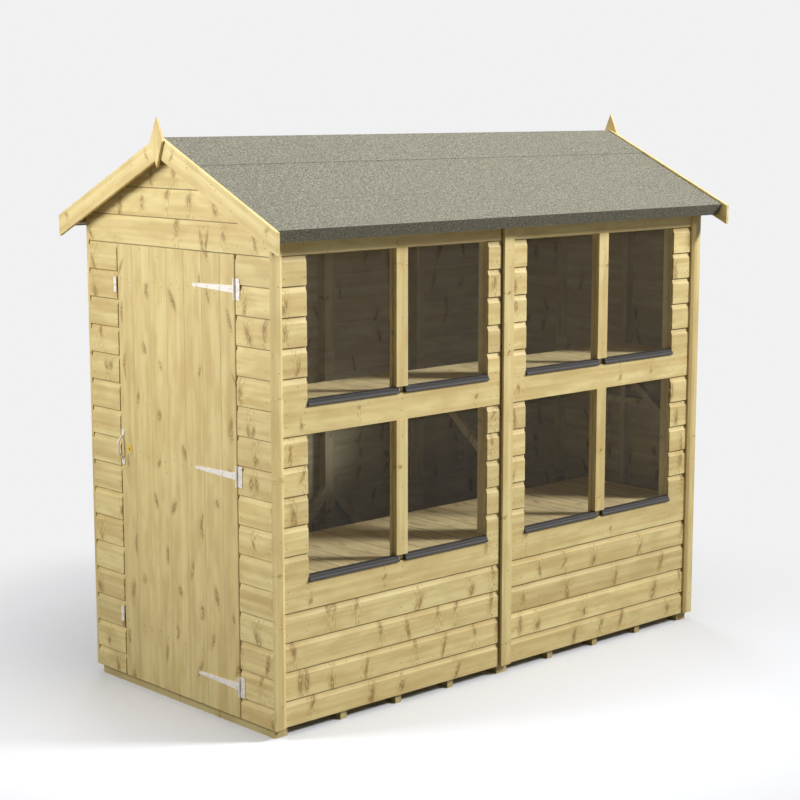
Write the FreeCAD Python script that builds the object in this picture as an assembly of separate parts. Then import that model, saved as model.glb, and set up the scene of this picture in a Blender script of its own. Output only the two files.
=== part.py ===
import FreeCAD, Part
import math
import os

# Potting shed with an apex roof. The door gable is at -X, the windowed front at -Y, and the ground is Z = 0.
# All sizes are in millimetres. The origin is on the ground under the middle of the floor.

# Floor
FLOOR_LENGTH = 2400.0
FLOOR_WIDTH = 1120.0
BEARER_WIDTH = 30.0
BEARER_HEIGHT = 44.0
BEARER_FIRST = 295.0
BEARER_STEP = 284.0
FLOOR_BOARD_COUNT = 10

# Timber sections
BOARD = 12.0
COVER = 111.0
STUD = 28.0
DEPTH = 44.0
GAP = 2.0

# Shiplap section: a lip laps over a thin tongue, and a scooped cove leads down from the tongue
LAP = 8.0
LIP_DEPTH = 6.3
TONGUE_DEPTH = 5.5
REBATE_HEIGHT = 9.0
COVE_TOP = 4.0
COVE_HEIGHT = 21.0
COVE_SAG = 1.2

# Tongue and groove section
TONGUE_LENGTH = 6.0
TONGUE_THICK = 4.0
TONGUE_PLAY = 0.3
V_JOINT = 2.5

# Levels up the wall
CLADDING_FOOT = 36.0
FLAT_RAIL = 102.75
WINDOW_ROWS = 5
APRON_TOP = 469.5
GABLE_LINE = 1785.0
CLADDING_HEAD = 1898.0
PLATE_FOOT = 1884.0

# Windows, with each panel's near and far edge measured from the joint between the panels
LEFT_WINDOW = (103.0, 1040.0)
RIGHT_WINDOW = (116.0, 1047.0)
MULLION_POST = 52.0
MULLION_STRIP = 58.0
MULLION_THICK = 15.0
GLASS = 4.0
GLASS_SETBACK = 4.0
GLASS_PLAY = 1.0
BEAD = 5.0
BEAD_DEPTH = 9.0
DRIP_HEIGHT = 26.0
DRIP_TOE = 12.0

# Trim
TRIM_WIDTH = 50.0
TRIM_THICK = 14.0
TRIM_CHAMFER = 13.0
TRIM_CHAMFER_DROP = 6.0
STRIP_WIDTH = 55.0
STRIP_OFFSET = 3.5
STRIP_THICK = 12.0
STRIP_GROOVE = 10.0

# Roof
PITCH = math.radians(25.1)
RIDGE_TOP = 2197.0
EAVES_REACH = 664.0
VERGE_REACH = 58.0
FELT = 2.5
FELT_FOLD = 50.0
RIDGE_FELT_REACH = 210.0
ROOF_BOARD_COUNT = 7
BARGE_THICK = 14.0
BARGE_REACH = 690.0
BARGE_PLUMB = 82.0
BARGE_STAND = 6.0
FINIAL_TOP = 2270.0
FINIAL_WAIST = 2184.0
FINIAL_FOOT = 2086.0
FINIAL_HALF = 39.0
FINIAL_THICK = 11.0
FINIAL_CHAMFER = 1.0
PURLIN_DISTANCE = 370.0

# Door
DOOR_WIDTH = 744.0
DOOR_OFFSET = 2.0
DOOR_TOP = 1781.0
DOOR_GAP = 3.0
DOOR_PLAY = 0.5
JAMB_WIDTH = 40.0
JAMB_STOP = 9.0
LINTEL_FOOT = 1770.0
FIRST_DOOR_BOARD = 101.0
LEDGE_LEVELS = (260.0, 962.0, 1640.0)
LEDGE_HEIGHT = 95.0
LEDGE_THICK = 20.0
LEDGE_INSET = 13.0
BRACE_WIDTH = 70.0

# Tee hinges
HINGE_LEVELS = (158.0, 963.0, 1656.0)
KNUCKLE_RADIUS = 5.0
PIN_RADIUS = 2.5
PIN_PLAY = 0.05
HINGE_HEIGHT = 78.0
STRAP_KNUCKLE = 28.0
KNUCKLE_PLAY = 0.4
HINGE_SHEET = 2.5
STRAP_REACH = 250.0
STRAP_ROOT = 28.0
STRAP_TIP = 12.0
PLATE_REACH = 29.0
PIN_STAND = 1.0
EYE_SIDES = 10

# Lock, handle and turn buttons
HANDLE_LEVEL = 976.0
HANDLE_EDGE = 14.0
HANDLE_FLANGE = 26.0
HANDLE_FLANGE_WIDTH = 18.0
HANDLE_FLANGE_THICK = 3.0
HANDLE_LENGTH = 144.0
HANDLE_REACH = 25.0
HANDLE_GRIP = 48.0
HANDLE_BEND = 12.0
HANDLE_BAR = 4.2
HANDLE_SIDES = 8
KEYHOLE_LEVEL = 973.5
KEYHOLE_EDGE = 57.0
KEYHOLE_RADIUS = 4.0
KEYHOLE_SLOT = 3.0
KEYHOLE_DROP = 11.0
KEY_PLATE_HALF_WIDTH = 15.0
KEY_PLATE_HALF_HEIGHT = 18.5
KEY_PLATE_THICK = 2.0
LOCK_EDGE = 15.0
LOCK_WIDTH = 75.0
LOCK_FOOT = 928.0
LOCK_HEAD = 1012.0
LOCK_DEPTH = 20.0
BOLT_LENGTH = 58.0
BOLT_FOOT = 984.0
BOLT_HEIGHT = 20.0
BOLT_THICK = 9.0
BOLT_TRAVEL = 16.0
BOLT_PLAY = 0.4
KEEP_THICK = 1.6
KEEP_WIDTH = 28.0
KEEP_HEIGHT = 40.0
BUTTON_LEVELS = (288.0, 1620.0)
BUTTON_EDGE = 12.0
BUTTON_HALF_LENGTH = 31.0
BUTTON_HALF_WIDTH = 9.0
BUTTON_CLIP = 4.0
BUTTON_THICK = 3.0
BUTTON_BOSS_HALF = 7.0
BUTTON_BOSS = 3.0
BUTTON_CLEAR = 0.3
SCREW_RADIUS = 2.0
SCREW_HEAD_RADIUS = 5.0
SCREW_HEAD = 2.2
SCREW_SIDES = 12

# Bench and shelf
BENCH_TOP = 580.0
SHELF_TOP = 1238.0
SLAT_THICK = 14.0
SLAT_COUNT = 21
BENCH_DEPTH = 531.0
SHELF_DEPTH = 326.0
LEG_WIDTH = 44.0
STRUT_DROP = 250.0

# Worked out from the sizes above
X_DOOR = -FLOOR_LENGTH / 2
X_FAR = FLOOR_LENGTH / 2
Y_FRONT = -FLOOR_WIDTH / 2
Y_BACK = FLOOR_WIDTH / 2
FLOOR_TOP = BEARER_HEIGHT + BOARD
STUD_FOOT = FLOOR_TOP + STUD
INNER_X = FLOOR_LENGTH / 2 - DEPTH
INNER_Y = FLOOR_WIDTH / 2 - DEPTH
RAIL_LEVELS = (
    APRON_TOP,
    APRON_TOP + FLAT_RAIL + WINDOW_ROWS * COVER,
    APRON_TOP + 2 * (FLAT_RAIL + WINDOW_ROWS * COVER),
)
SHEET_DEPTH = FELT
BOARDS_DEPTH = 2 * FELT
SOFFIT_DEPTH = 2 * FELT + BOARD
FOLD_DEPTH = SHEET_DEPTH + FELT_FOLD
EAVES_DOWN = (EAVES_REACH + SHEET_DEPTH * math.sin(PITCH)) / math.cos(PITCH)
BOARDS_DOWN = EAVES_DOWN - FELT
Y_HINGE = -DOOR_WIDTH / 2 - DOOR_GAP + DOOR_OFFSET
Y_DOOR_HINGE_EDGE = Y_HINGE + DOOR_GAP
Y_DOOR_LOCK_EDGE = Y_DOOR_HINGE_EDGE + DOOR_WIDTH
X_CLADDING = X_DOOR - BOARD
X_DOOR_FACE = X_CLADDING - DOOR_PLAY
X_DOOR_BACK = X_DOOR - DOOR_PLAY
X_PIN = X_CLADDING - KNUCKLE_RADIUS


def vec(x, y, z):
    return FreeCAD.Vector(x, y, z)


def box(x0, x1, y0, y1, z0, z1):
    return Part.makeBox(x1 - x0, y1 - y0, z1 - z0, vec(x0, y0, z0))


def outline_face(outline, place):
    """Face from corners (u, v), or (mid_u, mid_v, u, v) where an arc leads to the corner."""
    edges = []
    here = outline[0][-2:]
    steps = list(outline[1:])
    if steps[-1][-2:] != here:
        steps.append(here)
    for step in steps:
        there = step[-2:]
        if len(step) == 4:
            edges.append(Part.Arc(place(*here), place(*step[:2]), place(*there)).toShape())
        else:
            edges.append(Part.makeLine(place(*here), place(*there)))
        here = there
    return Part.Face(Part.Wire(edges))


def prism_x(outline, x0, x1):
    """Outline in (y, z) carried from x0 to x1."""
    return outline_face(outline, lambda y, z: vec(x0, y, z)).extrude(vec(x1 - x0, 0, 0))


def prism_y(outline, y0, y1):
    """Outline in (x, z) carried from y0 to y1."""
    return outline_face(outline, lambda x, z: vec(x, y0, z)).extrude(vec(0, y1 - y0, 0))


def prism_z(outline, z0, z1):
    """Outline in (x, y) carried from z0 to z1."""
    return outline_face(outline, lambda x, y: vec(x, y, z0)).extrude(vec(0, 0, z1 - z0))


def ring(radius, sides):
    """Corners of a many-sided ring about the origin."""
    turns = [math.tau * (i + 0.5) / sides for i in range(sides)]
    return [(radius * math.cos(turn), radius * math.sin(turn)) for turn in turns]


def cylinder_x(radius, x0, x1, y, z):
    return Part.makeCylinder(radius, x1 - x0, vec(x0, y, z), vec(1, 0, 0))


def cylinder_z(radius, x, y, z0, z1):
    return Part.makeCylinder(radius, z1 - z0, vec(x, y, z0), vec(0, 0, 1))


def save(node, solids):
    """Write one node, which may be a group of separate solids."""
    for solid in solids:
        if not solid.isValid() or solid.Volume <= 0:
            raise ValueError(node + " has a faulty solid")
    shape = solids[0] if len(solids) == 1 else Part.makeCompound(solids)
    shape.exportStep("parts/" + node + ".step")


# Roof lines

def roof_z(y, depth):
    """Height of the plane that lies the given depth under the top of the ridge felt."""
    return RIDGE_TOP - abs(y) * math.tan(PITCH) - depth / math.cos(PITCH)


def roof_band(side, y0, y1, depth0, depth1):
    """Plumb-ended band of one slope, between two depths under the ridge felt."""
    return [
        (side * y0, roof_z(y0, depth0)),
        (side * y1, roof_z(y1, depth0)),
        (side * y1, roof_z(y1, depth1)),
        (side * y0, roof_z(y0, depth1)),
    ]


def slope_point(side, down, depth):
    """Point a distance down the slope from the ridge, at a depth square to the slope."""
    y = down * math.cos(PITCH) - depth * math.sin(PITCH)
    z = RIDGE_TOP - down * math.sin(PITCH) - depth * math.cos(PITCH)
    return side * y, z


# Board sections, as (outward, up) for shiplap and (across, through) for tongued boards

def shiplap(cover, lapped=True):
    """Shiplap board; the lowest board of a wall has a plain foot in place of the lip."""
    cove_end = cover - COVE_TOP
    cove_start = cove_end - COVE_HEIGHT
    rise = BOARD - TONGUE_DEPTH
    chord = math.hypot(rise, COVE_HEIGHT)
    middle_u = BOARD - rise / 2 - COVE_SAG * COVE_HEIGHT / chord
    middle_v = cove_end - COVE_HEIGHT / 2 - COVE_SAG * rise / chord
    foot = [(LIP_DEPTH, 0.0)] if lapped else [(0.0, 0.0)]
    heel = [(0.0, REBATE_HEIGHT), (LIP_DEPTH, REBATE_HEIGHT)] if lapped else []
    return foot + [
        (BOARD, 0.0),
        (BOARD, cove_start),
        (middle_u, middle_v, TONGUE_DEPTH, cove_end),
        (TONGUE_DEPTH, cover + LAP),
        (0.0, cover + LAP),
    ] + heel


def flat_board(height):
    """Flat rail with the same lip as the shiplap, so that it laps the board below."""
    return [
        (LIP_DEPTH, 0.0),
        (BOARD, 0.0),
        (BOARD, height),
        (0.0, height),
        (0.0, REBATE_HEIGHT),
        (LIP_DEPTH, REBATE_HEIGHT),
    ]


def tongued(width, tongue, groove, joint=0.0):
    """Tongued and grooved board, with its face at the far side and an optional V joint there."""
    low = (BOARD - TONGUE_THICK) / 2
    high = low + TONGUE_THICK
    face = [(width, BOARD - joint), (width - joint, BOARD), (joint, BOARD), (0.0, BOARD - joint)]
    if joint == 0:
        face = [(width, BOARD), (0.0, BOARD)]
    right = [(width, low), (width + TONGUE_LENGTH, low), (width + TONGUE_LENGTH, high), (width, high)]
    inset = TONGUE_LENGTH + TONGUE_PLAY
    left = [
        (0.0, high + TONGUE_PLAY),
        (inset, high + TONGUE_PLAY),
        (inset, low - TONGUE_PLAY),
        (0.0, low - TONGUE_PLAY),
    ]
    return [(0.0, 0.0), (width, 0.0)] + (right if tongue else []) + face + (left if groove else [])


# Boards on the four walls

def front_board(outline, x0, x1, z):
    return prism_x([wall_step(step, -1, Y_FRONT, z) for step in outline], x0, x1)


def back_board(outline, x0, x1, z):
    return prism_x([wall_step(step, 1, Y_BACK, z) for step in outline], x0, x1)


def gable_board(outline, side, y0, y1, z):
    return prism_y([wall_step(step, side, side * FLOOR_LENGTH / 2, z) for step in outline], y0, y1)


def wall_step(step, side, plane, z):
    """Board section placed on a wall plane, with its face turned out to the given side."""
    pairs = [(plane + side * step[i], z + step[i + 1]) for i in range(0, len(step), 2)]
    return tuple(value for pair in pairs for value in pair)


def wall_rows():
    """Foot and cover of each shiplap row of a plain wall, up to the line over the door."""
    count = int((GABLE_LINE - CLADDING_FOOT) // COVER)
    first_cover = GABLE_LINE - CLADDING_FOOT - count * COVER
    rows = [(CLADDING_FOOT, first_cover)]
    for i in range(count):
        rows.append((CLADDING_FOOT + first_cover + i * COVER, COVER))
    return rows


# Floor

def build_floor():
    bearers = []
    for side in (-1, 1):
        end = FLOOR_LENGTH / 2 - BEARER_WIDTH / 2
        places = [BEARER_WIDTH / 2, end - BEARER_WIDTH, end]
        places += [BEARER_FIRST + i * BEARER_STEP for i in range(3)]
        for place in places:
            x = side * place - BEARER_WIDTH / 2
            bearers.append(box(x, x + BEARER_WIDTH, Y_FRONT, Y_BACK, 0, BEARER_HEIGHT))
    save("floor_bearers", bearers)
    width = FLOOR_WIDTH / FLOOR_BOARD_COUNT
    for name, x0, x1 in (("left", X_DOOR, 0.0), ("right", 0.0, X_FAR)):
        boards = []
        for i in range(FLOOR_BOARD_COUNT):
            section = tongued(width, i < FLOOR_BOARD_COUNT - 1, i > 0)
            y0 = Y_FRONT + i * width
            boards.append(prism_x([(y0 + u, BEARER_HEIGHT + v) for u, v in section], x0, x1))
        save(name + "_floor_boards", boards)


# Front wall

def span(side, near, far):
    """X range of a stretch that is measured from the joint between the two panels."""
    return (side * near, side * far) if side > 0 else (side * far, side * near)


def window_rows():
    """Level of the cill, foot of the glass and head of the glass of each row of panes."""
    lower = (RAIL_LEVELS[0] + FLAT_RAIL, BENCH_TOP, RAIL_LEVELS[1])
    upper = (RAIL_LEVELS[1] + FLAT_RAIL, SHELF_TOP, RAIL_LEVELS[2])
    return lower, upper


def window(side):
    """Near edge, middle and far edge of a panel's window."""
    near, far = LEFT_WINDOW if side < 0 else RIGHT_WINDOW
    return near, (near + far) / 2, far


def halves(side, mullion):
    """The two lights of a panel's window, on both sides of a mullion of the given width."""
    near, middle, far = window(side)
    return (near, middle - mullion / 2), (middle + mullion / 2, far)


def top_plate(side, x0, x1):
    """Wall plate with its top planed to the roof slope."""
    band = [
        (side * FLOOR_WIDTH / 2, PLATE_FOOT),
        (side * FLOOR_WIDTH / 2, roof_z(FLOOR_WIDTH / 2, SOFFIT_DEPTH)),
        (side * INNER_Y, roof_z(INNER_Y, SOFFIT_DEPTH)),
        (side * INNER_Y, PLATE_FOOT),
    ]
    return prism_x(band, x0, x1)


def front_frame(side):
    y0 = Y_FRONT
    y1 = -INNER_Y
    solids = [box(*span(side, 0, INNER_X), y0, y1, FLOOR_TOP, STUD_FOOT)]
    solids.append(top_plate(-1, *span(side, 0, INNER_X)))
    near, middle, far = window(side)
    for stud in ((0.0, DEPTH), (near - STUD, near), (far, far + STUD), (INNER_X - STUD, INNER_X)):
        solids.append(box(*span(side, *stud), y0, y1, STUD_FOOT, PLATE_FOOT))
    for foot in (BENCH_TOP - STUD, RAIL_LEVELS[1], SHELF_TOP - STUD, RAIL_LEVELS[2]):
        solids.append(box(*span(side, near, far), y0, y1, foot, foot + STUD))
    post = span(side, middle - MULLION_POST / 2, middle + MULLION_POST / 2)
    for _, foot, head in window_rows():
        solids.append(box(*post, y0, y0 + STUD, foot, head))
    apron = span(side, middle - STUD / 2, middle + STUD / 2)
    solids.append(box(*apron, y0, y1, STUD_FOOT, BENCH_TOP - STUD))
    return solids


def joint_edge(side):
    """Where the cladding of a front panel stops: short of the strip on the left, under it on the right."""
    strip_edge = STRIP_WIDTH / 2 - STRIP_OFFSET
    return strip_edge + STRIP_GROOVE if side < 0 else GAP


def front_cladding(side):
    start = joint_edge(side)
    end = FLOOR_LENGTH / 2
    near, _, far = window(side)
    solids = []
    count = int((APRON_TOP - CLADDING_FOOT) // COVER)
    first_cover = APRON_TOP - CLADDING_FOOT - count * COVER
    solids.append(front_board(shiplap(first_cover, False), *span(side, start, end), CLADDING_FOOT))
    for i in range(count):
        z = CLADDING_FOOT + first_cover + i * COVER
        solids.append(front_board(shiplap(COVER), *span(side, start, end), z))
    for cill, _, _ in window_rows():
        for i in range(WINDOW_ROWS):
            section = shiplap(COVER, i > 0)
            for stretch in (span(side, start, near), span(side, far, end)):
                solids.append(front_board(section, *stretch, cill + i * COVER))
    return solids


def front_rails(side):
    x0, x1 = span(side, joint_edge(side), FLOOR_LENGTH / 2)
    heights = (FLAT_RAIL, FLAT_RAIL, CLADDING_HEAD - RAIL_LEVELS[2])
    return [front_board(flat_board(height), x0, x1, z) for z, height in zip(RAIL_LEVELS, heights)]


def panes(side):
    y0 = Y_FRONT + GLASS_SETBACK
    solids = []
    for _, foot, head in window_rows():
        for near, far in halves(side, MULLION_POST):
            x0, x1 = span(side, near + GLASS_PLAY, far - GLASS_PLAY)
            solids.append(box(x0, x1, y0, y0 + GLASS, foot + GLASS_PLAY, head - GLASS_PLAY))
    return solids


def mullion_strips(side):
    """Strips over the mullion posts, which stand on the ends of the drip bars."""
    _, middle, _ = window(side)
    x0, x1 = span(side, middle - MULLION_STRIP / 2, middle + MULLION_STRIP / 2)
    y0 = Y_FRONT - MULLION_THICK
    return [box(x0, x1, y0, Y_FRONT, cill + DRIP_HEIGHT, head) for cill, _, head in window_rows()]


def bead_section(corner_u, corner_v, turn_u, turn_v):
    """Splayed glazing bead that sits in a corner and leaves the glass at a slant."""
    return [
        (corner_u, corner_v),
        (corner_u + turn_u * BEAD_DEPTH, corner_v),
        (corner_u + turn_u * BEAD_DEPTH / 2, corner_v + turn_v * BEAD),
        (corner_u, corner_v + turn_v * BEAD),
    ]


def glazing_beads(side):
    """Beads behind each pane: two upright, and a level one between their heads."""
    y = Y_FRONT + GLASS_SETBACK + GLASS
    solids = []
    for _, foot, head in window_rows():
        for near, far in halves(side, MULLION_POST):
            x0, x1 = span(side, near, far)
            solids.append(prism_z([(u, v) for v, u in bead_section(y, x0, 1, 1)], foot, head))
            solids.append(prism_z([(u, v) for v, u in bead_section(y, x1, 1, -1)], foot, head))
            solids.append(prism_x(bead_section(y, head, 1, -1), x0 + BEAD, x1 - BEAD))
    return solids


def drip_bars(side):
    """Dark moulded bar under each pane, with two ribs; its front runs on under the mullion strip."""
    front = [
        (0.0, 0.0),
        (18.0, 0.0),
        (21.0, 4.0),
        (20.0, 9.0),
        (15.5, 13.0),
        (16.0, 18.0),
        (11.0, 22.0),
    ]
    _, middle, _ = window(side)
    half = MULLION_STRIP / 2
    solids = []
    for cill, foot, _ in window_rows():
        lip = foot - cill + GLASS_PLAY
        back = GLASS_SETBACK - DOOR_PLAY
        section = front + [(-back, DRIP_HEIGHT), (-back, lip), (0.0, lip)]
        toe = front + [(0.0, DRIP_HEIGHT - GLASS_PLAY)]
        for turn, (near, far) in zip((-1, 1), halves(side, MULLION_STRIP)):
            bar = front_board(section, *span(side, near, far), cill)
            reach = sorted((middle + turn * half, middle + turn * (half - DRIP_TOE)))
            solids.append(bar.fuse(front_board(toe, *span(side, *reach), cill)).removeSplitter())
    return solids


def build_front():
    sides = (("left", -1), ("right", 1))
    for name, side in sides:
        save("front_" + name + "_frame", front_frame(side))
        save("front_" + name + "_cladding", front_cladding(side))
        save("front_" + name + "_rails", front_rails(side))
        save("front_" + name + "_panes", panes(side))
    save("mullion_strips", [solid for _, side in sides for solid in mullion_strips(side)])
    save("glazing_beads", [solid for _, side in sides for solid in glazing_beads(side)])
    save("drip_bars", [solid for _, side in sides for solid in drip_bars(side)])


# Back wall

BACK_STUD = 532.0
BRACE_HEAD = 622.0
BRACE_HEEL = 560.0
BRACE_SLOPE = 1.15


def back_frame(side):
    y0 = INNER_Y
    y1 = Y_BACK
    solids = [box(*span(side, 0, INNER_X), y0, y1, FLOOR_TOP, STUD_FOOT)]
    solids.append(top_plate(1, *span(side, 0, INNER_X)))
    for near, far in ((0.0, STUD), (BACK_STUD, BACK_STUD + DEPTH), (INNER_X - STUD, INNER_X)):
        solids.append(box(*span(side, near, far), y0, y1, STUD_FOOT, PLATE_FOOT))
    brace = [
        (side * STUD, BRACE_HEEL),
        (side * STUD, BRACE_HEAD),
        (side * (STUD + (BRACE_HEAD - STUD_FOOT) / BRACE_SLOPE), STUD_FOOT),
        (side * (STUD + (BRACE_HEEL - STUD_FOOT) / BRACE_SLOPE), STUD_FOOT),
    ]
    solids.append(prism_y(brace, y0, y0 + STUD))
    return solids


def back_cladding(side):
    x0, x1 = span(side, GAP, FLOOR_LENGTH / 2)
    solids = []
    for i, (foot, cover) in enumerate(wall_rows()):
        solids.append(back_board(shiplap(cover, i > 0), x0, x1, foot))
    solids.append(back_board(flat_board(CLADDING_HEAD - GABLE_LINE), x0, x1, GABLE_LINE))
    return solids


def build_back():
    for name, side in (("left", -1), ("right", 1)):
        save("back_" + name + "_frame", back_frame(side))
        save("back_" + name + "_cladding", back_cladding(side))


# Gables

MID_STUD = 187.0
MID_RAIL = 960.0


def gable_studs_band(y0, y1, foot, depth):
    """Upright with its head planed to the roof slope."""
    return [(y0, foot), (y1, foot), (y1, roof_z(y1, depth)), (y0, roof_z(y0, depth))]


def gable_frame(side, uprights, rails):
    """Frame members that both gables share, with their own uprights and rails added."""
    x0, x1 = sorted((side * FLOOR_LENGTH / 2, side * INNER_X))
    rafter_foot = SOFFIT_DEPTH + STUD
    edge = FLOOR_WIDTH / 2
    solids = [box(x0, x1, Y_FRONT, Y_BACK, FLOOR_TOP, STUD_FOOT)]
    for half in (-1, 1):
        solids.append(prism_x(roof_band(half, 0.0, edge, SOFFIT_DEPTH, rafter_foot), x0, x1))
        upright = gable_studs_band(half * edge, half * (edge - STUD), STUD_FOOT, rafter_foot)
        solids.append(prism_x(upright, x0, x1))
    solids.append(box(x0, x1, -edge + STUD, edge - STUD, LINTEL_FOOT, LINTEL_FOOT + DEPTH))
    king = [
        (-STUD / 2, LINTEL_FOOT + DEPTH),
        (STUD / 2, LINTEL_FOOT + DEPTH),
        (STUD / 2, roof_z(STUD / 2, rafter_foot)),
        (0.0, roof_z(0.0, rafter_foot)),
        (-STUD / 2, roof_z(STUD / 2, rafter_foot)),
    ]
    solids.append(prism_x(king, x0, x1))
    for y0, y1 in uprights:
        solids.append(box(x0, x1, y0, y1, STUD_FOOT, LINTEL_FOOT))
    for y0, y1 in rails:
        solids.append(box(x0, x1, y0, y1, MID_RAIL, MID_RAIL + STUD))
    return solids


def gable_head(side):
    """Space under the roof boards, which the upper gable boards are cut to."""
    x0, x1 = sorted((side * FLOOR_LENGTH / 2, side * (FLOOR_LENGTH / 2 + BOARD)))
    edge = FLOOR_WIDTH / 2 + BOARD
    depth = SOFFIT_DEPTH + GAP / 2
    outline = [(-edge, 0.0), (edge, 0.0), (edge, roof_z(edge, depth)), (0.0, roof_z(0, depth))]
    return prism_x(outline + [(-edge, roof_z(edge, depth))], x0, x1)


def gable_cladding(side, stretches):
    """Rows over the given stretches up to the lintel line, then full rows cut to the roof slope."""
    edge = FLOOR_WIDTH / 2 + BOARD
    solids = []
    for i, (foot, cover) in enumerate(wall_rows()):
        for y0, y1 in stretches:
            solids.append(gable_board(shiplap(cover, i > 0), side, y0, y1, foot))
    head = gable_head(side)
    row = GABLE_LINE
    while row < roof_z(0, SOFFIT_DEPTH) - STUD:
        board = gable_board(shiplap(COVER), side, -edge, edge, row).common(head)
        solids += board.Solids
        row += COVER
    return solids


def build_gables():
    edge = FLOOR_WIDTH / 2 + BOARD
    hinge_jamb = Y_DOOR_HINGE_EDGE + JAMB_STOP
    lock_jamb = Y_DOOR_LOCK_EDGE - JAMB_STOP
    jambs = [(hinge_jamb - JAMB_WIDTH, hinge_jamb), (lock_jamb, lock_jamb + JAMB_WIDTH)]
    frame = gable_frame(-1, jambs, [])
    save("door_gable_frame", [solid.cut(bolt_pocket()) for solid in frame])
    sides = [(-edge, Y_DOOR_HINGE_EDGE - 2 * DOOR_GAP), (Y_DOOR_LOCK_EDGE + 2 * DOOR_GAP, edge)]
    save("door_gable_cladding", gable_cladding(-1, sides))
    studs = [(-MID_STUD - STUD, -MID_STUD), (MID_STUD, MID_STUD + STUD)]
    inner = FLOOR_WIDTH / 2 - STUD
    rails = [(-inner, studs[0][0]), (studs[0][1], studs[1][0]), (studs[1][1], inner)]
    save("far_gable_frame", gable_frame(1, studs, rails))
    save("far_gable_cladding", gable_cladding(1, [(-edge, edge)]))


# Trim over the corners and the panel joints

def corner_trim(x_side, y_side):
    """Corner board whose inner edge has a long chamfer."""
    outer = FLOOR_LENGTH / 2 + BOARD
    inner = outer - TRIM_WIDTH
    base = FLOOR_WIDTH / 2 + BOARD
    face = base + TRIM_THICK
    outline = [
        (outer, base),
        (outer, face),
        (inner + TRIM_CHAMFER, face),
        (inner, face - TRIM_CHAMFER_DROP),
        (inner, base),
    ]
    return prism_z([(x_side * x, y_side * y) for x, y in outline], CLADDING_FOOT, CLADDING_HEAD)


def build_trim():
    for y_name, y_side in (("front", -1), ("back", 1)):
        for x_name, x_side in (("left", -1), ("right", 1)):
            save(y_name + "_" + x_name + "_corner_trim", [corner_trim(x_side, y_side)])
        x0 = STRIP_OFFSET - STRIP_WIDTH / 2
        y0, y1 = sorted((y_side * (Y_BACK + BOARD), y_side * (Y_BACK + BOARD + STRIP_THICK)))
        strip = box(x0, x0 + STRIP_WIDTH, y0, y1, CLADDING_FOOT, CLADDING_HEAD)
        save(y_name + "_cover_strip", [strip])


# Roof

def roof_boards(side):
    start = BOARD * math.tan(PITCH) + BOARDS_DEPTH * math.tan(PITCH) + GAP
    width = (BOARDS_DOWN - start) / ROOF_BOARD_COUNT
    boards = []
    for i in range(ROOF_BOARD_COUNT):
        section = tongued(width, i < ROOF_BOARD_COUNT - 1, i > 0)
        outline = [slope_point(side, start + i * width + u, SOFFIT_DEPTH - v) for u, v in section]
        boards.append(prism_x(outline, X_DOOR - VERGE_REACH, X_FAR + VERGE_REACH))
    return boards


def roof_frame(side):
    """Battens at the eaves, the ridge and the verges, and a purlin on each side of the truss."""
    inside = BOARDS_DOWN - STUD
    eaves = [
        slope_point(side, BOARDS_DOWN, SOFFIT_DEPTH),
        slope_point(side, BOARDS_DOWN, FOLD_DEPTH - GAP),
        slope_point(side, inside, FOLD_DEPTH - GAP),
        slope_point(side, inside, SOFFIT_DEPTH),
    ]
    solids = [prism_x(eaves, X_DOOR - VERGE_REACH, X_FAR + VERGE_REACH)]
    verge = [
        (0.0, roof_z(0.0, SOFFIT_DEPTH)),
        slope_point(side, inside, SOFFIT_DEPTH),
        slope_point(side, inside, SOFFIT_DEPTH + STUD),
        (0.0, roof_z(0.0, SOFFIT_DEPTH + STUD)),
    ]
    ridge = [
        (0.0, roof_z(0.0, SOFFIT_DEPTH)),
        (side * STUD, roof_z(STUD, SOFFIT_DEPTH)),
        (side * STUD, roof_z(0.0, SOFFIT_DEPTH) - DEPTH),
        (0.0, roof_z(0.0, SOFFIT_DEPTH) - DEPTH),
    ]
    down = PURLIN_DISTANCE
    purlin = [
        slope_point(side, down, SOFFIT_DEPTH),
        slope_point(side, down + DEPTH, SOFFIT_DEPTH),
        slope_point(side, down + DEPTH, SOFFIT_DEPTH + STUD),
        slope_point(side, down, SOFFIT_DEPTH + STUD),
    ]
    for end in (-1, 1):
        x0, x1 = sorted((end * (X_FAR + VERGE_REACH), end * (X_FAR + VERGE_REACH - STUD)))
        solids.append(prism_x(verge, x0, x1))
        x0, x1 = span(end, STUD / 2, INNER_X)
        solids.append(prism_x(ridge, x0, x1))
        solids.append(prism_x(purlin, x0, x1))
    return solids


def roof_truss():
    """Two rafters standing on a tie that spans between the wall frames."""
    depth = SOFFIT_DEPTH + DEPTH
    tie_top = roof_z(INNER_Y, depth)
    solids = [box(-STUD / 2, STUD / 2, -INNER_Y, INNER_Y, tie_top - DEPTH, tie_top)]
    for side in (-1, 1):
        solids.append(prism_x(roof_band(side, 0.0, INNER_Y, SOFFIT_DEPTH, depth), -STUD / 2, STUD / 2))
    return solids


def roof_felt(side):
    """Felt sheet of one slope, folded square over the eaves."""
    ridge = GAP
    outline = [
        (side * ridge, roof_z(ridge, SHEET_DEPTH)),
        slope_point(side, EAVES_DOWN, SHEET_DEPTH),
        slope_point(side, EAVES_DOWN, FOLD_DEPTH),
        slope_point(side, BOARDS_DOWN, FOLD_DEPTH),
        slope_point(side, BOARDS_DOWN, BOARDS_DEPTH),
        (side * ridge, roof_z(ridge, BOARDS_DEPTH)),
    ]
    return prism_x(outline, X_DOOR - VERGE_REACH, X_FAR + VERGE_REACH)


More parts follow.
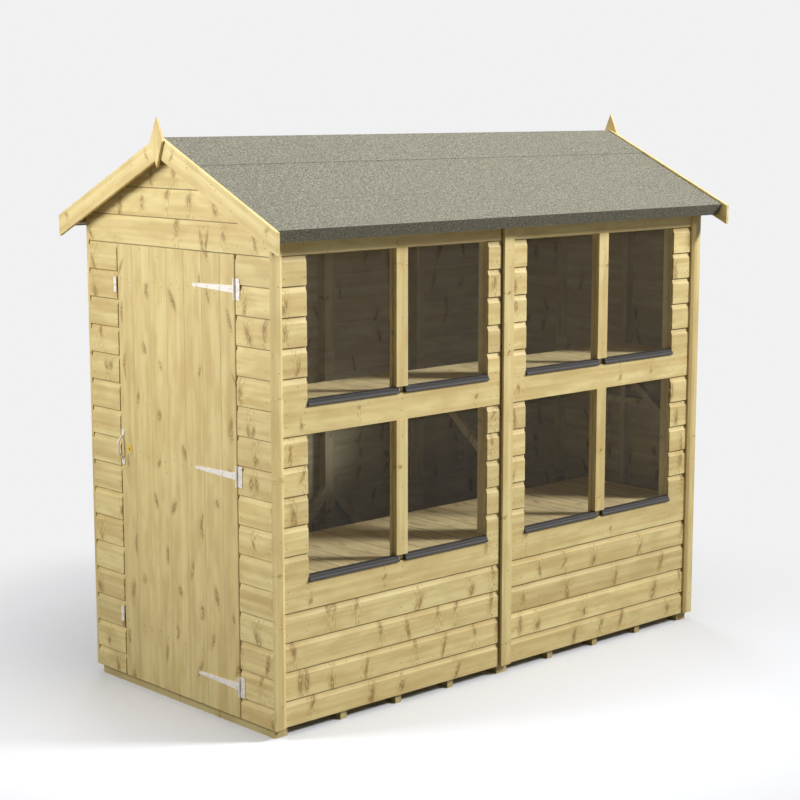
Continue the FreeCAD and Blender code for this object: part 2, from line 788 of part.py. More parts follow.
def ridge_felt():
    reach = RIDGE_FELT_REACH
    outline = [
        (0.0, roof_z(0, 0)),
        (reach, roof_z(reach, 0)),
        (reach, roof_z(reach, SHEET_DEPTH)),
        (0.0, roof_z(0, SHEET_DEPTH)),
        (-reach, roof_z(reach, SHEET_DEPTH)),
        (-reach, roof_z(reach, 0)),
    ]
    return prism_x(outline, X_DOOR - VERGE_REACH, X_FAR + VERGE_REACH)


def bargeboard(end, side):
    """Board along one verge, cut plumb at the ridge and at the foot."""
    top = RIDGE_TOP + BARGE_STAND
    fall = BARGE_REACH * math.tan(PITCH)
    outline = [
        (0.0, top),
        (side * BARGE_REACH, top - fall),
        (side * BARGE_REACH, top - fall - BARGE_PLUMB),
        (0.0, top - BARGE_PLUMB),
    ]
    x0, x1 = sorted((end * (X_FAR + VERGE_REACH), end * (X_FAR + VERGE_REACH + BARGE_THICK)))
    return prism_x(outline, x0, x1)


def finial(end):
    """Long diamond over the meeting of two bargeboards, with its front edges eased."""
    outline = [
        (0.0, FINIAL_TOP),
        (FINIAL_HALF, FINIAL_WAIST),
        (0.0, FINIAL_FOOT),
        (-FINIAL_HALF, FINIAL_WAIST),
    ]
    inner = X_FAR + VERGE_REACH + BARGE_THICK
    outer = inner + FINIAL_THICK
    x0, x1 = sorted((end * inner, end * outer))
    solid = prism_x(outline, x0, x1)
    front = [edge for edge in solid.Edges if all(abs(v.X - end * outer) < 0.01 for v in edge.Vertexes)]
    return solid.makeChamfer(FINIAL_CHAMFER, front)


def build_roof():
    for name, side in (("front", -1), ("back", 1)):
        save(name + "_roof_boards", roof_boards(side))
        save(name + "_roof_frame", roof_frame(side))
        save(name + "_roof_felt", [roof_felt(side)])
        for gable, end in (("door_gable_", -1), ("far_gable_", 1)):
            save(gable + name + "_bargeboard", [bargeboard(end, side)])
    for gable, end in (("door_gable_", -1), ("far_gable_", 1)):
        save(gable + "finial", [finial(end)])
    save("roof_truss", roof_truss())
    save("ridge_felt", [ridge_felt()])


# Door

def door_boards():
    """Vertical tongued boards with V joints, counted from the lock edge."""
    joints = [0.0]
    edge = FIRST_DOOR_BOARD
    while edge < DOOR_WIDTH:
        joints.append(edge)
        edge += COVER
    joints.append(DOOR_WIDTH)
    boards = []
    for i in range(len(joints) - 1):
        last = i == len(joints) - 2
        section = tongued(joints[i + 1] - joints[i], not last, i > 0, V_JOINT)
        outline = [(X_DOOR_BACK - v, Y_DOOR_LOCK_EDGE - joints[i] - u) for u, v in section]
        boards.append(prism_z(outline, CLADDING_FOOT, DOOR_TOP).cut(key_slot()))
    return boards


def door_ledges():
    x0 = X_DOOR_BACK
    x1 = X_DOOR_BACK + LEDGE_THICK
    y0 = Y_DOOR_HINGE_EDGE + LEDGE_INSET
    y1 = Y_DOOR_LOCK_EDGE - LEDGE_INSET
    half = LEDGE_HEIGHT / 2
    solids = [box(x0, x1, y0, y1, level - half, level + half).cut(key_slot()) for level in LEDGE_LEVELS]
    for low, high in zip(LEDGE_LEVELS[:-1], LEDGE_LEVELS[1:]):
        brace = [
            (y0, low + half),
            (y0 + BRACE_WIDTH, low + half),
            (y1, high - half),
            (y1 - BRACE_WIDTH, high - half),
        ]
        solids.append(prism_x(brace, x0, x1))
    return solids


def hinge_knuckle(level, foot, head, hole):
    """Eye of rolled sheet, many-sided outside and bored for the pin."""
    outline = [(X_PIN + u, Y_HINGE + v) for u, v in ring(KNUCKLE_RADIUS, EYE_SIDES)]
    eye = prism_z(outline, level + foot, level + head)
    return eye.cut(cylinder_z(hole, X_PIN, Y_HINGE, level + foot - 1, level + head + 1))


def hinge_strap(level):
    """Tapered strap with a rounded tip, rolled round the pin at its root."""
    x1 = X_DOOR_FACE
    x0 = x1 - HINGE_SHEET
    tip = Y_HINGE + STRAP_REACH
    root = STRAP_ROOT / 2
    end = STRAP_TIP / 2
    outline = [
        (Y_HINGE, level - root),
        (tip, level - end),
        (tip + end, level, tip, level + end),
        (Y_HINGE, level + root),
    ]
    half = STRAP_KNUCKLE / 2
    bore = cylinder_z(KNUCKLE_RADIUS - 1, X_PIN, Y_HINGE, level - HINGE_HEIGHT, level + HINGE_HEIGHT)
    leaf = prism_x(outline, x0, x1).cut(bore)
    return leaf.fuse(hinge_knuckle(level, -half, half, PIN_RADIUS + PIN_PLAY)).removeSplitter()


def hinge_plate(level):
    """Plate on the wall, with a knuckle above and below the strap's."""
    x1 = X_CLADDING
    x0 = x1 - HINGE_SHEET
    half = HINGE_HEIGHT / 2
    inner = STRAP_KNUCKLE / 2 + KNUCKLE_PLAY
    leaf = box(x0, x1, Y_HINGE - PLATE_REACH, Y_HINGE, level - half, level + half)
    leaf = leaf.cut(box(x0, x1, Y_HINGE - KNUCKLE_RADIUS - 2, Y_HINGE, level - inner, level + inner))
    leaf = leaf.cut(cylinder_z(KNUCKLE_RADIUS - 1, X_PIN, Y_HINGE, level - half, level + half))
    leaf = leaf.fuse(hinge_knuckle(level, inner, half, PIN_RADIUS))
    return leaf.fuse(hinge_knuckle(level, -half, -inner, PIN_RADIUS)).removeSplitter()


def hinge_pin(level):
    """Pin pressed into the plate's knuckles, with its peened ends standing proud."""
    half = HINGE_HEIGHT / 2 + PIN_STAND
    return cylinder_z(PIN_RADIUS, X_PIN, Y_HINGE, level - half, level + half)


def build_door():
    save("door_boards", door_boards())
    save("door_ledges", door_ledges())
    save("hinge_straps", [hinge_strap(level) for level in HINGE_LEVELS])
    save("hinge_plates", [hinge_plate(level) for level in HINGE_LEVELS])
    save("hinge_pins", [hinge_pin(level) for level in HINGE_LEVELS])


# Handle, lock and turn buttons

Y_HANDLE = Y_DOOR_LOCK_EDGE - HANDLE_EDGE
Y_KEYHOLE = Y_DOOR_LOCK_EDGE - KEYHOLE_EDGE
Y_LOCK = Y_DOOR_LOCK_EDGE - LOCK_EDGE
X_LOCK = X_DOOR_BACK + LEDGE_THICK
X_BOLT = X_LOCK + (LOCK_DEPTH - BOLT_THICK) / 2
Y_JAMB = Y_DOOR_LOCK_EDGE - JAMB_STOP
Y_BUTTON = Y_DOOR_LOCK_EDGE + BUTTON_EDGE


def key_slot():
    """Upright slot for the key, through the boards, the ledge and the lock."""
    y0 = Y_KEYHOLE - KEYHOLE_RADIUS
    y1 = Y_KEYHOLE + KEYHOLE_RADIUS
    z0 = KEYHOLE_LEVEL - KEYHOLE_DROP
    z1 = KEYHOLE_LEVEL + KEYHOLE_RADIUS
    return box(X_DOOR_FACE, X_LOCK + LOCK_DEPTH, y0, y1, z0, z1)


def bolt_space(y0, y1, play):
    """Straight passage of the bolt, wider than the bolt by the play on each side."""
    return box(
        X_BOLT - play,
        X_BOLT + BOLT_THICK + play,
        y0,
        y1,
        BOLT_FOOT - play,
        BOLT_FOOT + BOLT_HEIGHT + play,
    )


def bolt_pocket():
    return bolt_space(Y_JAMB - KEEP_THICK, Y_JAMB + BOLT_TRAVEL, 2 * BOLT_PLAY)


def pull_handle():
    """Bow of eight-sided bar with slanted legs, rising from two rounded flanges."""
    x = X_DOOR_FACE
    half = HANDLE_LENGTH / 2
    legs = half - HANDLE_FLANGE
    flange_face = x - HANDLE_FLANGE_THICK
    path = [
        vec(flange_face + HANDLE_BAR / 2, Y_HANDLE, HANDLE_LEVEL + legs + HANDLE_BAR),
        vec(x - HANDLE_REACH, Y_HANDLE, HANDLE_LEVEL + HANDLE_GRIP / 2),
        vec(x - HANDLE_REACH, Y_HANDLE, HANDLE_LEVEL - HANDLE_GRIP / 2),
        vec(flange_face + HANDLE_BAR / 2, Y_HANDLE, HANDLE_LEVEL - legs - HANDLE_BAR),
    ]
    edges = []
    here = path[0]
    for before, corner, after in zip(path, path[1:], path[2:]):
        to_start = (before - corner).normalize() * HANDLE_BEND
        to_end = (after - corner).normalize() * HANDLE_BEND
        pull = (to_start + to_end) * 0.25
        edges.append(Part.makeLine(here, corner + to_start))
        edges.append(Part.Arc(corner + to_start, corner + pull, corner + to_end).toShape())
        here = corner + to_end
    edges.append(Part.makeLine(here, path[-1]))
    along = (path[1] - path[0]).normalize()
    across = vec(0, 1, 0)
    outward = along.cross(across)
    corners = [path[0] + across * u + outward * v for u, v in ring(HANDLE_BAR, HANDLE_SIDES)]
    section = Part.makePolygon(corners + corners[:1])
    solid = Part.Wire(edges).makePipeShell([section], True, True)
    radius = HANDLE_FLANGE_WIDTH / 2
    for end in (-1, 1):
        inner = HANDLE_LEVEL + end * legs
        centre = HANDLE_LEVEL + end * (half - radius)
        outline = [
            (Y_HANDLE - radius, inner),
            (Y_HANDLE + radius, inner),
            (Y_HANDLE + radius, centre),
            (Y_HANDLE, HANDLE_LEVEL + end * half, Y_HANDLE - radius, centre),
        ]
        solid = solid.fuse(prism_x(outline, flange_face, x))
    behind = box(x, X_DOOR_BACK, Y_HANDLE - radius, Y_HANDLE + radius, 0, DOOR_TOP)
    return solid.cut(behind).removeSplitter()


def keyhole_plate():
    """Long round-ended plate with a keyhole: a round hole with a slot below it."""
    x0 = X_DOOR_FACE - KEY_PLATE_THICK
    radius = KEY_PLATE_HALF_WIDTH
    rise = KEY_PLATE_HALF_HEIGHT - radius
    outline = [
        (Y_KEYHOLE + radius, KEYHOLE_LEVEL - rise),
        (Y_KEYHOLE + radius, KEYHOLE_LEVEL + rise),
        (Y_KEYHOLE, KEYHOLE_LEVEL + KEY_PLATE_HALF_HEIGHT, Y_KEYHOLE - radius, KEYHOLE_LEVEL + rise),
        (Y_KEYHOLE - radius, KEYHOLE_LEVEL - rise),
        (Y_KEYHOLE, KEYHOLE_LEVEL - KEY_PLATE_HALF_HEIGHT, Y_KEYHOLE + radius, KEYHOLE_LEVEL - rise),
    ]
    plate = prism_x(outline, x0, X_DOOR_FACE)
    half = KEYHOLE_SLOT / 2
    slot_foot = KEYHOLE_LEVEL - KEYHOLE_DROP
    slot = box(x0, X_DOOR_FACE, Y_KEYHOLE - half, Y_KEYHOLE + half, slot_foot, KEYHOLE_LEVEL)
    return plate.cut(cylinder_x(KEYHOLE_RADIUS, x0, X_DOOR_FACE, Y_KEYHOLE, KEYHOLE_LEVEL)).cut(slot)


def lock_case():
    """Rim lock case with a passage for the bolt at its front edge and a hole for the key."""
    case = box(X_LOCK, X_LOCK + LOCK_DEPTH, Y_LOCK - LOCK_WIDTH, Y_LOCK, LOCK_FOOT, LOCK_HEAD)
    passage = bolt_space(Y_LOCK - BOLT_LENGTH - BOLT_PLAY, Y_LOCK, BOLT_PLAY)
    return case.cut(passage).cut(key_slot())


def lock_keep():
    """Striking plate on the jamb, with a slot for the bolt."""
    middle_x = X_BOLT + BOLT_THICK / 2
    middle_z = BOLT_FOOT + BOLT_HEIGHT / 2
    plate = box(
        middle_x - KEEP_WIDTH / 2,
        middle_x + KEEP_WIDTH / 2,
        Y_JAMB - KEEP_THICK,
        Y_JAMB,
        middle_z - KEEP_HEIGHT / 2,
        middle_z + KEEP_HEIGHT / 2,
    )
    return plate.cut(bolt_pocket())


def clipped(y, z, half_y, half_z, clip):
    """Outline of a bar round a centre, with its four corners clipped."""
    return [
        (y + half_y, z - half_z + clip),
        (y + half_y, z + half_z - clip),
        (y + half_y - clip, z + half_z),
        (y - half_y + clip, z + half_z),
        (y - half_y, z + half_z - clip),
        (y - half_y, z - half_z + clip),
        (y - half_y + clip, z - half_z),
        (y + half_y - clip, z - half_z),
    ]


def turn_button(level):
    """Bar with clipped ends that turns on a screw, on a boss that lifts it clear of the door."""
    x1 = X_CLADDING - BUTTON_CLEAR
    x_arm = x1 - BUTTON_BOSS
    bar = clipped(Y_BUTTON, level, BUTTON_HALF_WIDTH, BUTTON_HALF_LENGTH, BUTTON_CLIP)
    boss = clipped(Y_BUTTON, level, BUTTON_BOSS_HALF, BUTTON_BOSS_HALF, BUTTON_CLIP)
    solid = prism_x(bar, x_arm - BUTTON_THICK, x_arm).fuse(prism_x(boss, x_arm, x1))
    bore = cylinder_x(SCREW_RADIUS + PIN_PLAY, x_arm - BUTTON_THICK, x1, Y_BUTTON, level)
    return solid.cut(bore).removeSplitter()


def button_screw(level):
    """Round shank through the button, under a many-sided pan head."""
    x_head = X_CLADDING - 2 * BUTTON_CLEAR - BUTTON_BOSS - BUTTON_THICK
    outline = [(Y_BUTTON + u, level + v) for u, v in ring(SCREW_HEAD_RADIUS, SCREW_SIDES)]
    head = prism_x(outline, x_head - SCREW_HEAD, x_head)
    return head.fuse(cylinder_x(SCREW_RADIUS, x_head, X_CLADDING, Y_BUTTON, level))


def build_door_furniture():
    save("pull_handle", [pull_handle()])
    save("keyhole_plate", [keyhole_plate()])
    save("lock_case", [lock_case()])
    save("lock_bolt", [bolt_space(Y_LOCK - BOLT_LENGTH, Y_LOCK, 0.0)])
    save("lock_keep", [lock_keep()])
    for name, level in zip(("lower", "upper"), BUTTON_LEVELS):
        save(name + "_turn_button", [turn_button(level)])
    save("turn_button_screws", [button_screw(level) for level in BUTTON_LEVELS])


# Bench and shelf

def slats(top, depth):
    """Boards laid front to back, with a narrow gap between them."""
    pitch = 2 * INNER_X / SLAT_COUNT
    solids = []
    for i in range(SLAT_COUNT):
        x0 = -INNER_X + i * pitch + GAP / 2
        solids.append(box(x0, x0 + pitch - GAP, -INNER_Y, -INNER_Y + depth, top - SLAT_THICK, top))
    return solids


def bench_frame():
    under = BENCH_TOP - SLAT_THICK
    edge = -INNER_Y + BENCH_DEPTH
    solids = [box(-INNER_X, INNER_X, -INNER_Y, -INNER_Y + STUD, under - STUD, under)]
    solids.append(box(-INNER_X, INNER_X, edge - STUD, edge, under - DEPTH, under))
    for middle in (-INNER_X + LEG_WIDTH / 2, -INNER_X / 2, 0.0, INNER_X / 2, INNER_X - LEG_WIDTH / 2):
        x0 = middle - LEG_WIDTH / 2
        solids.append(box(x0, x0 + LEG_WIDTH, edge - STUD, edge, FLOOR_TOP, under - DEPTH))
    return solids


def shelf_frame():
    under = SHELF_TOP - SLAT_THICK
    edge = -INNER_Y + SHELF_DEPTH
    solids = [box(-INNER_X, INNER_X, -INNER_Y, -INNER_Y + STUD, under - STUD, under)]
    solids.append(box(-INNER_X, INNER_X, edge - STUD, edge, under - STUD, under))
    strut = [
        (-INNER_Y, under - STRUT_DROP - DEPTH),
        (edge, under - STUD),
        (edge - DEPTH, under - STUD),
        (-INNER_Y, under - STRUT_DROP),
    ]
    for side in (-1, 1):
        near, _, far = window(side)
        for start in (near - STUD, far):
            solids.append(prism_x(strut, *span(side, start, start + STUD)))
    return solids


def build_staging():
    save("bench_top", slats(BENCH_TOP, BENCH_DEPTH))
    save("bench_frame", bench_frame())
    save("shelf_top", slats(SHELF_TOP, SHELF_DEPTH))
    save("shelf_frame", shelf_frame())


os.makedirs("parts", exist_ok=True)
build_floor()
build_front()
build_back()
build_gables()
build_trim()
build_roof()
build_door()
build_door_furniture()
build_staging()
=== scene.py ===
"""Dressed potting shed: a finish for every node, its nails and screws, and a plain pale studio."""

import logging
import math
from collections.abc import Iterable, Iterator, Mapping, Sequence
from dataclasses import dataclass, replace
from enum import Enum
from itertools import pairwise

import bmesh
import bpy
from mathutils import Matrix, Vector


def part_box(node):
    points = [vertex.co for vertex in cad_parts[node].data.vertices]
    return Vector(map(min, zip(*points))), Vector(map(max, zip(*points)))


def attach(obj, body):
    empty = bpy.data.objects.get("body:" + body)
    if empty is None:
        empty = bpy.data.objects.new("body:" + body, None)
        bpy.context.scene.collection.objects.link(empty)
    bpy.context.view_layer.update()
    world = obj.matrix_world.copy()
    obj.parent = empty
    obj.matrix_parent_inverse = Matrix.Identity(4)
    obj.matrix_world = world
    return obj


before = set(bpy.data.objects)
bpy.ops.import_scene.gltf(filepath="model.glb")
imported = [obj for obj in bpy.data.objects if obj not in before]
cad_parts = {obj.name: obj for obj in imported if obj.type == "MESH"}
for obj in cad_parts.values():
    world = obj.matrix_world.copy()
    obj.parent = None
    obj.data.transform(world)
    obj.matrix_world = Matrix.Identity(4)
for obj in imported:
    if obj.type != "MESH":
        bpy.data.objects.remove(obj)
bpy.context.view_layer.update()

LOG = logging.getLogger("potting_shed")
ROOF_PITCH = math.radians(25.1)
ROOF_RUN, ROOF_FALL = math.cos(ROOF_PITCH), math.sin(ROOF_PITCH)
BRACE_RISE = math.radians(42.5)
BRACE_RUN, BRACE_CLIMB = math.cos(BRACE_RISE), math.sin(BRACE_RISE)

Triple = tuple[float, float, float]
X_AXIS: Triple = (1.0, 0.0, 0.0)
Y_AXIS: Triple = (0.0, 1.0, 0.0)
Z_AXIS: Triple = (0.0, 0.0, 1.0)
DOORWARD: Triple = (-1.0, 0.0, 0.0)
FRONTWARD: Triple = (0.0, -1.0, 0.0)

Colour = tuple[float, float, float, float]
WHITE: Colour = (1.0, 1.0, 1.0, 1.0)


def shade(*levels: int) -> Colour:
    """Turn a screen colour into the linear colour that shaders take.

    Args:
        levels: red, green and blue, 0 to 255 each.

    Returns:
        The linear colour, with full alpha.
    """
    shares = (level / 255 for level in levels)
    # The screen's transfer curve, undone.
    linear = (share / 12.92 if share <= 0.04045 else ((share + 0.055) / 1.055) ** 2.4 for share in shares)
    return *linear, 1.0


class Field:
    """A value socket that joins in Python arithmetic: each operator adds a Math node."""

    def __init__(self, graph: "Graph", socket: bpy.types.NodeSocket) -> None:
        """Wrap one value socket of a graph."""
        self.graph = graph
        self.socket = socket

    def __add__(self, other: "Value") -> "Field":
        """Sum."""
        return self.graph.math("ADD", self, other)

    __radd__ = __add__

    def __sub__(self, other: "Value") -> "Field":
        """Difference."""
        return self.graph.math("SUBTRACT", self, other)

    def __rsub__(self, other: "Value") -> "Field":
        """Difference from a number."""
        return self.graph.math("SUBTRACT", other, self)

    def __mul__(self, other: "Value") -> "Field":
        """Product."""
        return self.graph.math("MULTIPLY", self, other)

    __rmul__ = __mul__

    def __truediv__(self, other: "Value") -> "Field":
        """Quotient."""
        return self.graph.math("DIVIDE", self, other)

    def __rtruediv__(self, other: "Value") -> "Field":
        """Quotient of a number and the field."""
        return self.graph.math("DIVIDE", other, self)

    def __pow__(self, other: "Value") -> "Field":
        """Power."""
        return self.graph.math("POWER", self, other)

    def __rpow__(self, other: "Value") -> "Field":
        """Power of a number."""
        return self.graph.math("POWER", other, self)

    def __abs__(self) -> "Field":
        """Distance from nought."""
        return self.graph.math("ABSOLUTE", self)

    def __lt__(self, other: "Value") -> "Field":
        """One where the field is less, otherwise nought."""
        return self.graph.math("LESS_THAN", self, other)

    def __gt__(self, other: "Value") -> "Field":
        """One where the field is greater, otherwise nought."""
        return self.graph.math("GREATER_THAN", self, other)

    def floor(self) -> "Field":
        """Whole number at or below the field."""
        return self.graph.math("FLOOR", self)

    def sine(self) -> "Field":
        """Sine of the field in radians."""
        return self.graph.math("SINE", self)

    def cosine(self) -> "Field":
        """Cosine of the field in radians."""
        return self.graph.math("COSINE", self)

    def larger(self, other: "Value") -> "Field":
        """The larger of two values."""
        return self.graph.math("MAXIMUM", self, other)

    def between(self, limits: tuple[float, float]) -> "Field":
        """Stretch a chance, 0 to 1, over a range."""
        return self * (limits[1] - limits[0]) + limits[0]

    def ease(self, low: float, high: float) -> "Field":
        """Smooth step from nought at low to one at high, which may lie below low."""
        limits = {"Value": self, "From Min": low, "From Max": high}
        return Field(self.graph, self.graph.node(
            "ShaderNodeMapRange", {"interpolation_type": "SMOOTHSTEP"}, limits).outputs["Result"])


Value = Field | float
Feed = Field | bpy.types.NodeSocket | float | Sequence[float]


class Graph:
    """Node tree of one material, or of the world."""

    def __init__(self, owner: bpy.types.Material | bpy.types.World) -> None:
        """Start an empty tree for its owner."""
        owner.use_nodes = True
        self.owner = owner
        self.tree = owner.node_tree
        self.tree.nodes.clear()

    @classmethod
    def of_material(cls, name: str) -> "Graph":
        """Start the tree of a new material."""
        return cls(bpy.data.materials.new(name))

    def node(
        self, kind: str, settings: Mapping[str, object] | None = None,
        inputs: Mapping[str | int, Feed] | None = None,
    ) -> bpy.types.Node:
        """Add a node, with its settings first and then its sockets.

        Args:
            kind: the node's type.
            settings: its properties; stops is a colour ramp's list of place and colour.
            inputs: values or links by socket name or number.

        Returns:
            The new node.
        """
        node = self.tree.nodes.new(kind)
        for name, value in (settings or {}).items():
            if name == "stops":
                self.set_stops(node.color_ramp, value)
            else:
                setattr(node, name, value)
        for key, value in (inputs or {}).items():
            socket = value.socket if isinstance(value, Field) else value
            if isinstance(socket, bpy.types.NodeSocket):
                self.tree.links.new(socket, node.inputs[key])
            else:
                node.inputs[key].default_value = socket
        return node

    @staticmethod
    def set_stops(ramp: bpy.types.ColorRamp, stops: Sequence[tuple[float, Colour]]) -> None:
        """Give a colour ramp its stops.

        Args:
            ramp: the ramp, with its two stops from the start.
            stops: place and colour of each stop, in order.
        """
        while len(ramp.elements) < len(stops):
            ramp.elements.new(1.0)
        for element, (place, colour) in zip(ramp.elements, stops):
            element.position = place
            element.color = colour

    def math(self, operation: str, *values: Value) -> Field:
        """Result of a Math node over fields and numbers."""
        node = self.node("ShaderNodeMath", {"operation": operation}, dict(enumerate(values)))
        return Field(self, node.outputs[0])

    def position(self) -> bpy.types.NodeSocket:
        """Place on the piece, in metres."""
        return self.node("ShaderNodeTexCoord").outputs["Object"]

    def along(self, direction: Sequence[float]) -> Field:
        """Distance along a direction.

        Args:
            direction: the direction, of length one where true metres matter.

        Returns:
            The distance from the origin, in metres.
        """
        inputs = {0: self.position(), 1: direction}
        product = self.node("ShaderNodeVectorMath", {"operation": "DOT_PRODUCT"}, inputs)
        return Field(self, product.outputs["Value"])

    def vector(self, x: Value, y: Value, z: Value = 0.0) -> bpy.types.NodeSocket:
        """Vector from three values."""
        return self.node("ShaderNodeCombineXYZ", None, {"X": x, "Y": y, "Z": z}).outputs[0]

    def chances(self, x: Value, y: Value, z: float) -> tuple[Field, Field, Field]:
        """Three even chances, 0 to 1, that stay the same wherever x and y stay the same.

        Args:
            x: first key.
            y: second key.
            z: seed.

        Returns:
            The three chances.
        """
        keys = {"Vector": self.vector(x, y, z)}
        noise = self.node("ShaderNodeTexWhiteNoise", {"noise_dimensions": "3D"}, keys)
        parts = self.node("ShaderNodeSeparateColor", None, {0: noise.outputs["Color"]}).outputs
        return Field(self, parts[0]), Field(self, parts[1]), Field(self, parts[2])

    def noise(self, vector: bpy.types.NodeSocket, scale: float, detail: float = 2.0) -> Field:
        """Soft noise, about 0.2 to 0.8, with so many blotches in each metre of the vector."""
        inputs = {"Vector": vector, "Scale": scale, "Detail": detail, "Roughness": 0.55}
        return Field(self, self.node("ShaderNodeTexNoise", None, inputs).outputs["Fac"])

    def mix(self, share: Value, first: Feed, second: Feed, blend: str = "MIX") -> bpy.types.NodeSocket:
        """First colour with a share of the second mixed in."""
        settings = {"data_type": "RGBA", "blend_type": blend, "clamp_factor": True}
        return self.node("ShaderNodeMix", settings, {0: share, 6: first, 7: second}).outputs[2]

    def bump(self, height: Field, strength: float, distance: float) -> bpy.types.NodeSocket:
        """Normal of a relief that runs from 0 to 1 and is so many metres deep."""
        inputs = {"Strength": strength, "Distance": distance, "Height": height}
        return self.node("ShaderNodeBump", None, inputs).outputs["Normal"]

    def finish(self, inputs: Mapping[str, Feed]) -> bpy.types.Material:
        """Close the tree with one surface shader.

        Args:
            inputs: the shader's sockets.

        Returns:
            The finished material.
        """
        surface = self.node("ShaderNodeBsdfPrincipled", None, inputs)
        self.node("ShaderNodeOutputMaterial", None, {"Surface": surface.outputs[0]})
        return self.owner


class Grain(Enum):
    """How boards lie: the directions along the grain and across it."""

    LEVEL_ON_FRONT = (X_AXIS, Z_AXIS)
    LEVEL_ON_GABLE = (Y_AXIS, Z_AXIS)
    UPRIGHT_ON_GABLE = (Z_AXIS, Y_AXIS)
    UPRIGHT = (Z_AXIS, (1.0, 1.0, 0.0))
    FLAT_FRONT_TO_BACK = (Y_AXIS, (1.0, 0.0, 0.4))
    SLATS = (Y_AXIS, X_AXIS)
    FLAT_END_TO_END = (X_AXIS, (0.0, 1.0, 0.4))
    FRONT_SLOPE = ((0.0, -ROOF_RUN, -ROOF_FALL), (0.0, -ROOF_FALL, ROOF_RUN))
    BACK_SLOPE = ((0.0, ROOF_RUN, -ROOF_FALL), (0.0, ROOF_FALL, ROOF_RUN))
    DOOR_BRACES = ((0.0, BRACE_RUN, BRACE_CLIMB), (0.0, -BRACE_CLIMB, BRACE_RUN))


@dataclass(frozen=True)
class Courses:
    """Boards of one stretch across the grain: one of its joints, its butt ends, and where it starts."""

    joint: float = 0.0
    length: float = 8.0
    shift: float = 4.0
    start: float = -math.inf


@dataclass(frozen=True)
class JointLine:
    """Line painted along the joints between boards, pale painted light or dark dirt and shade: half its
    width, how strong it is, and its colour.
    """

    width: float
    share: float
    colour: Colour


@dataclass(frozen=True)
class Streaks:
    """Noise drawn out one way: how often it changes in each metre along and across, its detail and scale."""

    along: float
    across: float
    detail: float = 2.0
    scale: float = 1.0

    def read(
        self, graph: Graph, along: Field, across: Field, board: Value = 0.0,
        shift: tuple[Value, Value] = (0.0, 0.0),
    ) -> Field:
        """Noise at a place, shifted along and across, and different on each board that is numbered."""
        place = graph.vector(along * self.along + shift[0], across * self.across + shift[1], board)
        return graph.noise(place, self.scale, self.detail)


@dataclass(frozen=True)
class Knots:
    """Habit of one kind of knot.

    Spacing and share say how often it comes, and long and short are the ranges of its half sizes. Lean is the
    range of its angle to the grain, and forked the share of knots with two arms. Upset and spread say how far
    the grain is disturbed, along and across. Lengths are in metres.
    """

    spacing: float
    share: float
    long: tuple[float, float]
    short: tuple[float, float]
    lean: tuple[float, float]
    seed: float
    forked: float = 0.0
    upset: float = 0.0
    spread: float = 1.0


@dataclass(frozen=True)
class KnotMarks:
    """Fields of one kind of knot: body, dark rim, stained wood, upset wood, feathers and a run across."""

    body: Field
    rim: Field
    halo: Field
    upset: Field
    feather: Field
    edge: Field


@dataclass(frozen=True)
class Shares:
    """How strongly each mark colours the wood, 0 to 1."""

    rings: float = 0.16
    clouds: float = 0.42
    fibres: float = 0.08
    halo: float = 0.22
    upset: float = 0.62
    parted: float = 0.5
    body: float = 0.74
    rim: float = 0.42
    pins: float = 0.6
    lap_dirt_and_shade: float = 0.75


BRANCHES_ON_CLADDING = Knots(
    0.15, 0.62, (0.014, 0.040), (0.006, 0.013), (0.95, 1.85), 1.0, forked=0.06, upset=0.045)
BRANCHES_ON_DOOR = Knots(
    0.19, 0.62, (0.013, 0.036), (0.005, 0.012), (-0.55, 0.55), 2.0, forked=0.34, upset=0.034, spread=0.017)
BRANCHES_ON_TRIM = Knots(0.30, 0.60, (0.006, 0.013), (0.004, 0.009), (0.60, 1.60), 3.0, upset=0.018)
NO_BRANCHES = Knots(0.50, 0.0, (0.010, 0.012), (0.005, 0.006), (0.0, 1.0), 6.0)
PINS = Knots(0.075, 0.40, (0.0022, 0.0046), (0.0018, 0.0034), (0.0, 1.5), 4.0)
KNOT_PLACES = (0.3, 0.7)
KNOT_HEIGHTS = (0.12, 0.88)
KNOT_SWERVE = 0.006
FEATHERING = 1.9
FEATHERS = Streaks(2.2, 0.8, scale=62.0)
BANDS = Streaks(0.75, 26.0)
RINGS = Streaks(1.6, 42.0)
CLOUDS = Streaks(5.0, 17.0)
FIBRES = Streaks(9.0, 420.0)
CROWDS = Streaks(2.0, 5.0, 1.0)
MARK = Shares()
PALE_PINE = shade(237, 219, 155)
RIPE_PINE = shade(218, 192, 129)
LATE_WOOD = shade(197, 168, 102)
AMBER = shade(176, 142, 72)
KNOT_PALE = shade(152, 115, 54)
KNOT_DARK = shade(102, 72, 32)
# Dark brown of dirt and painted shade, in the recess under each lap and in the gaps between slats.
JOINT_DIRT_AND_SHADE = shade(100, 76, 38)
SAWN_TINT = shade(203, 215, 255)
FADED_PINE = shade(216, 206, 180)
ROUGH_TIMBER = {"apart": False, "tone": 0.0, "sawn": 0.9}
# Pale painted light in the door's V grooves, which lifts the shade that falls in them.
DOOR_GROOVE_LIGHT = JointLine(0.0032, 0.5, shade(250, 238, 196))
SLAT_JOINT = JointLine(0.0025, 0.8, JOINT_DIRT_AND_SHADE)


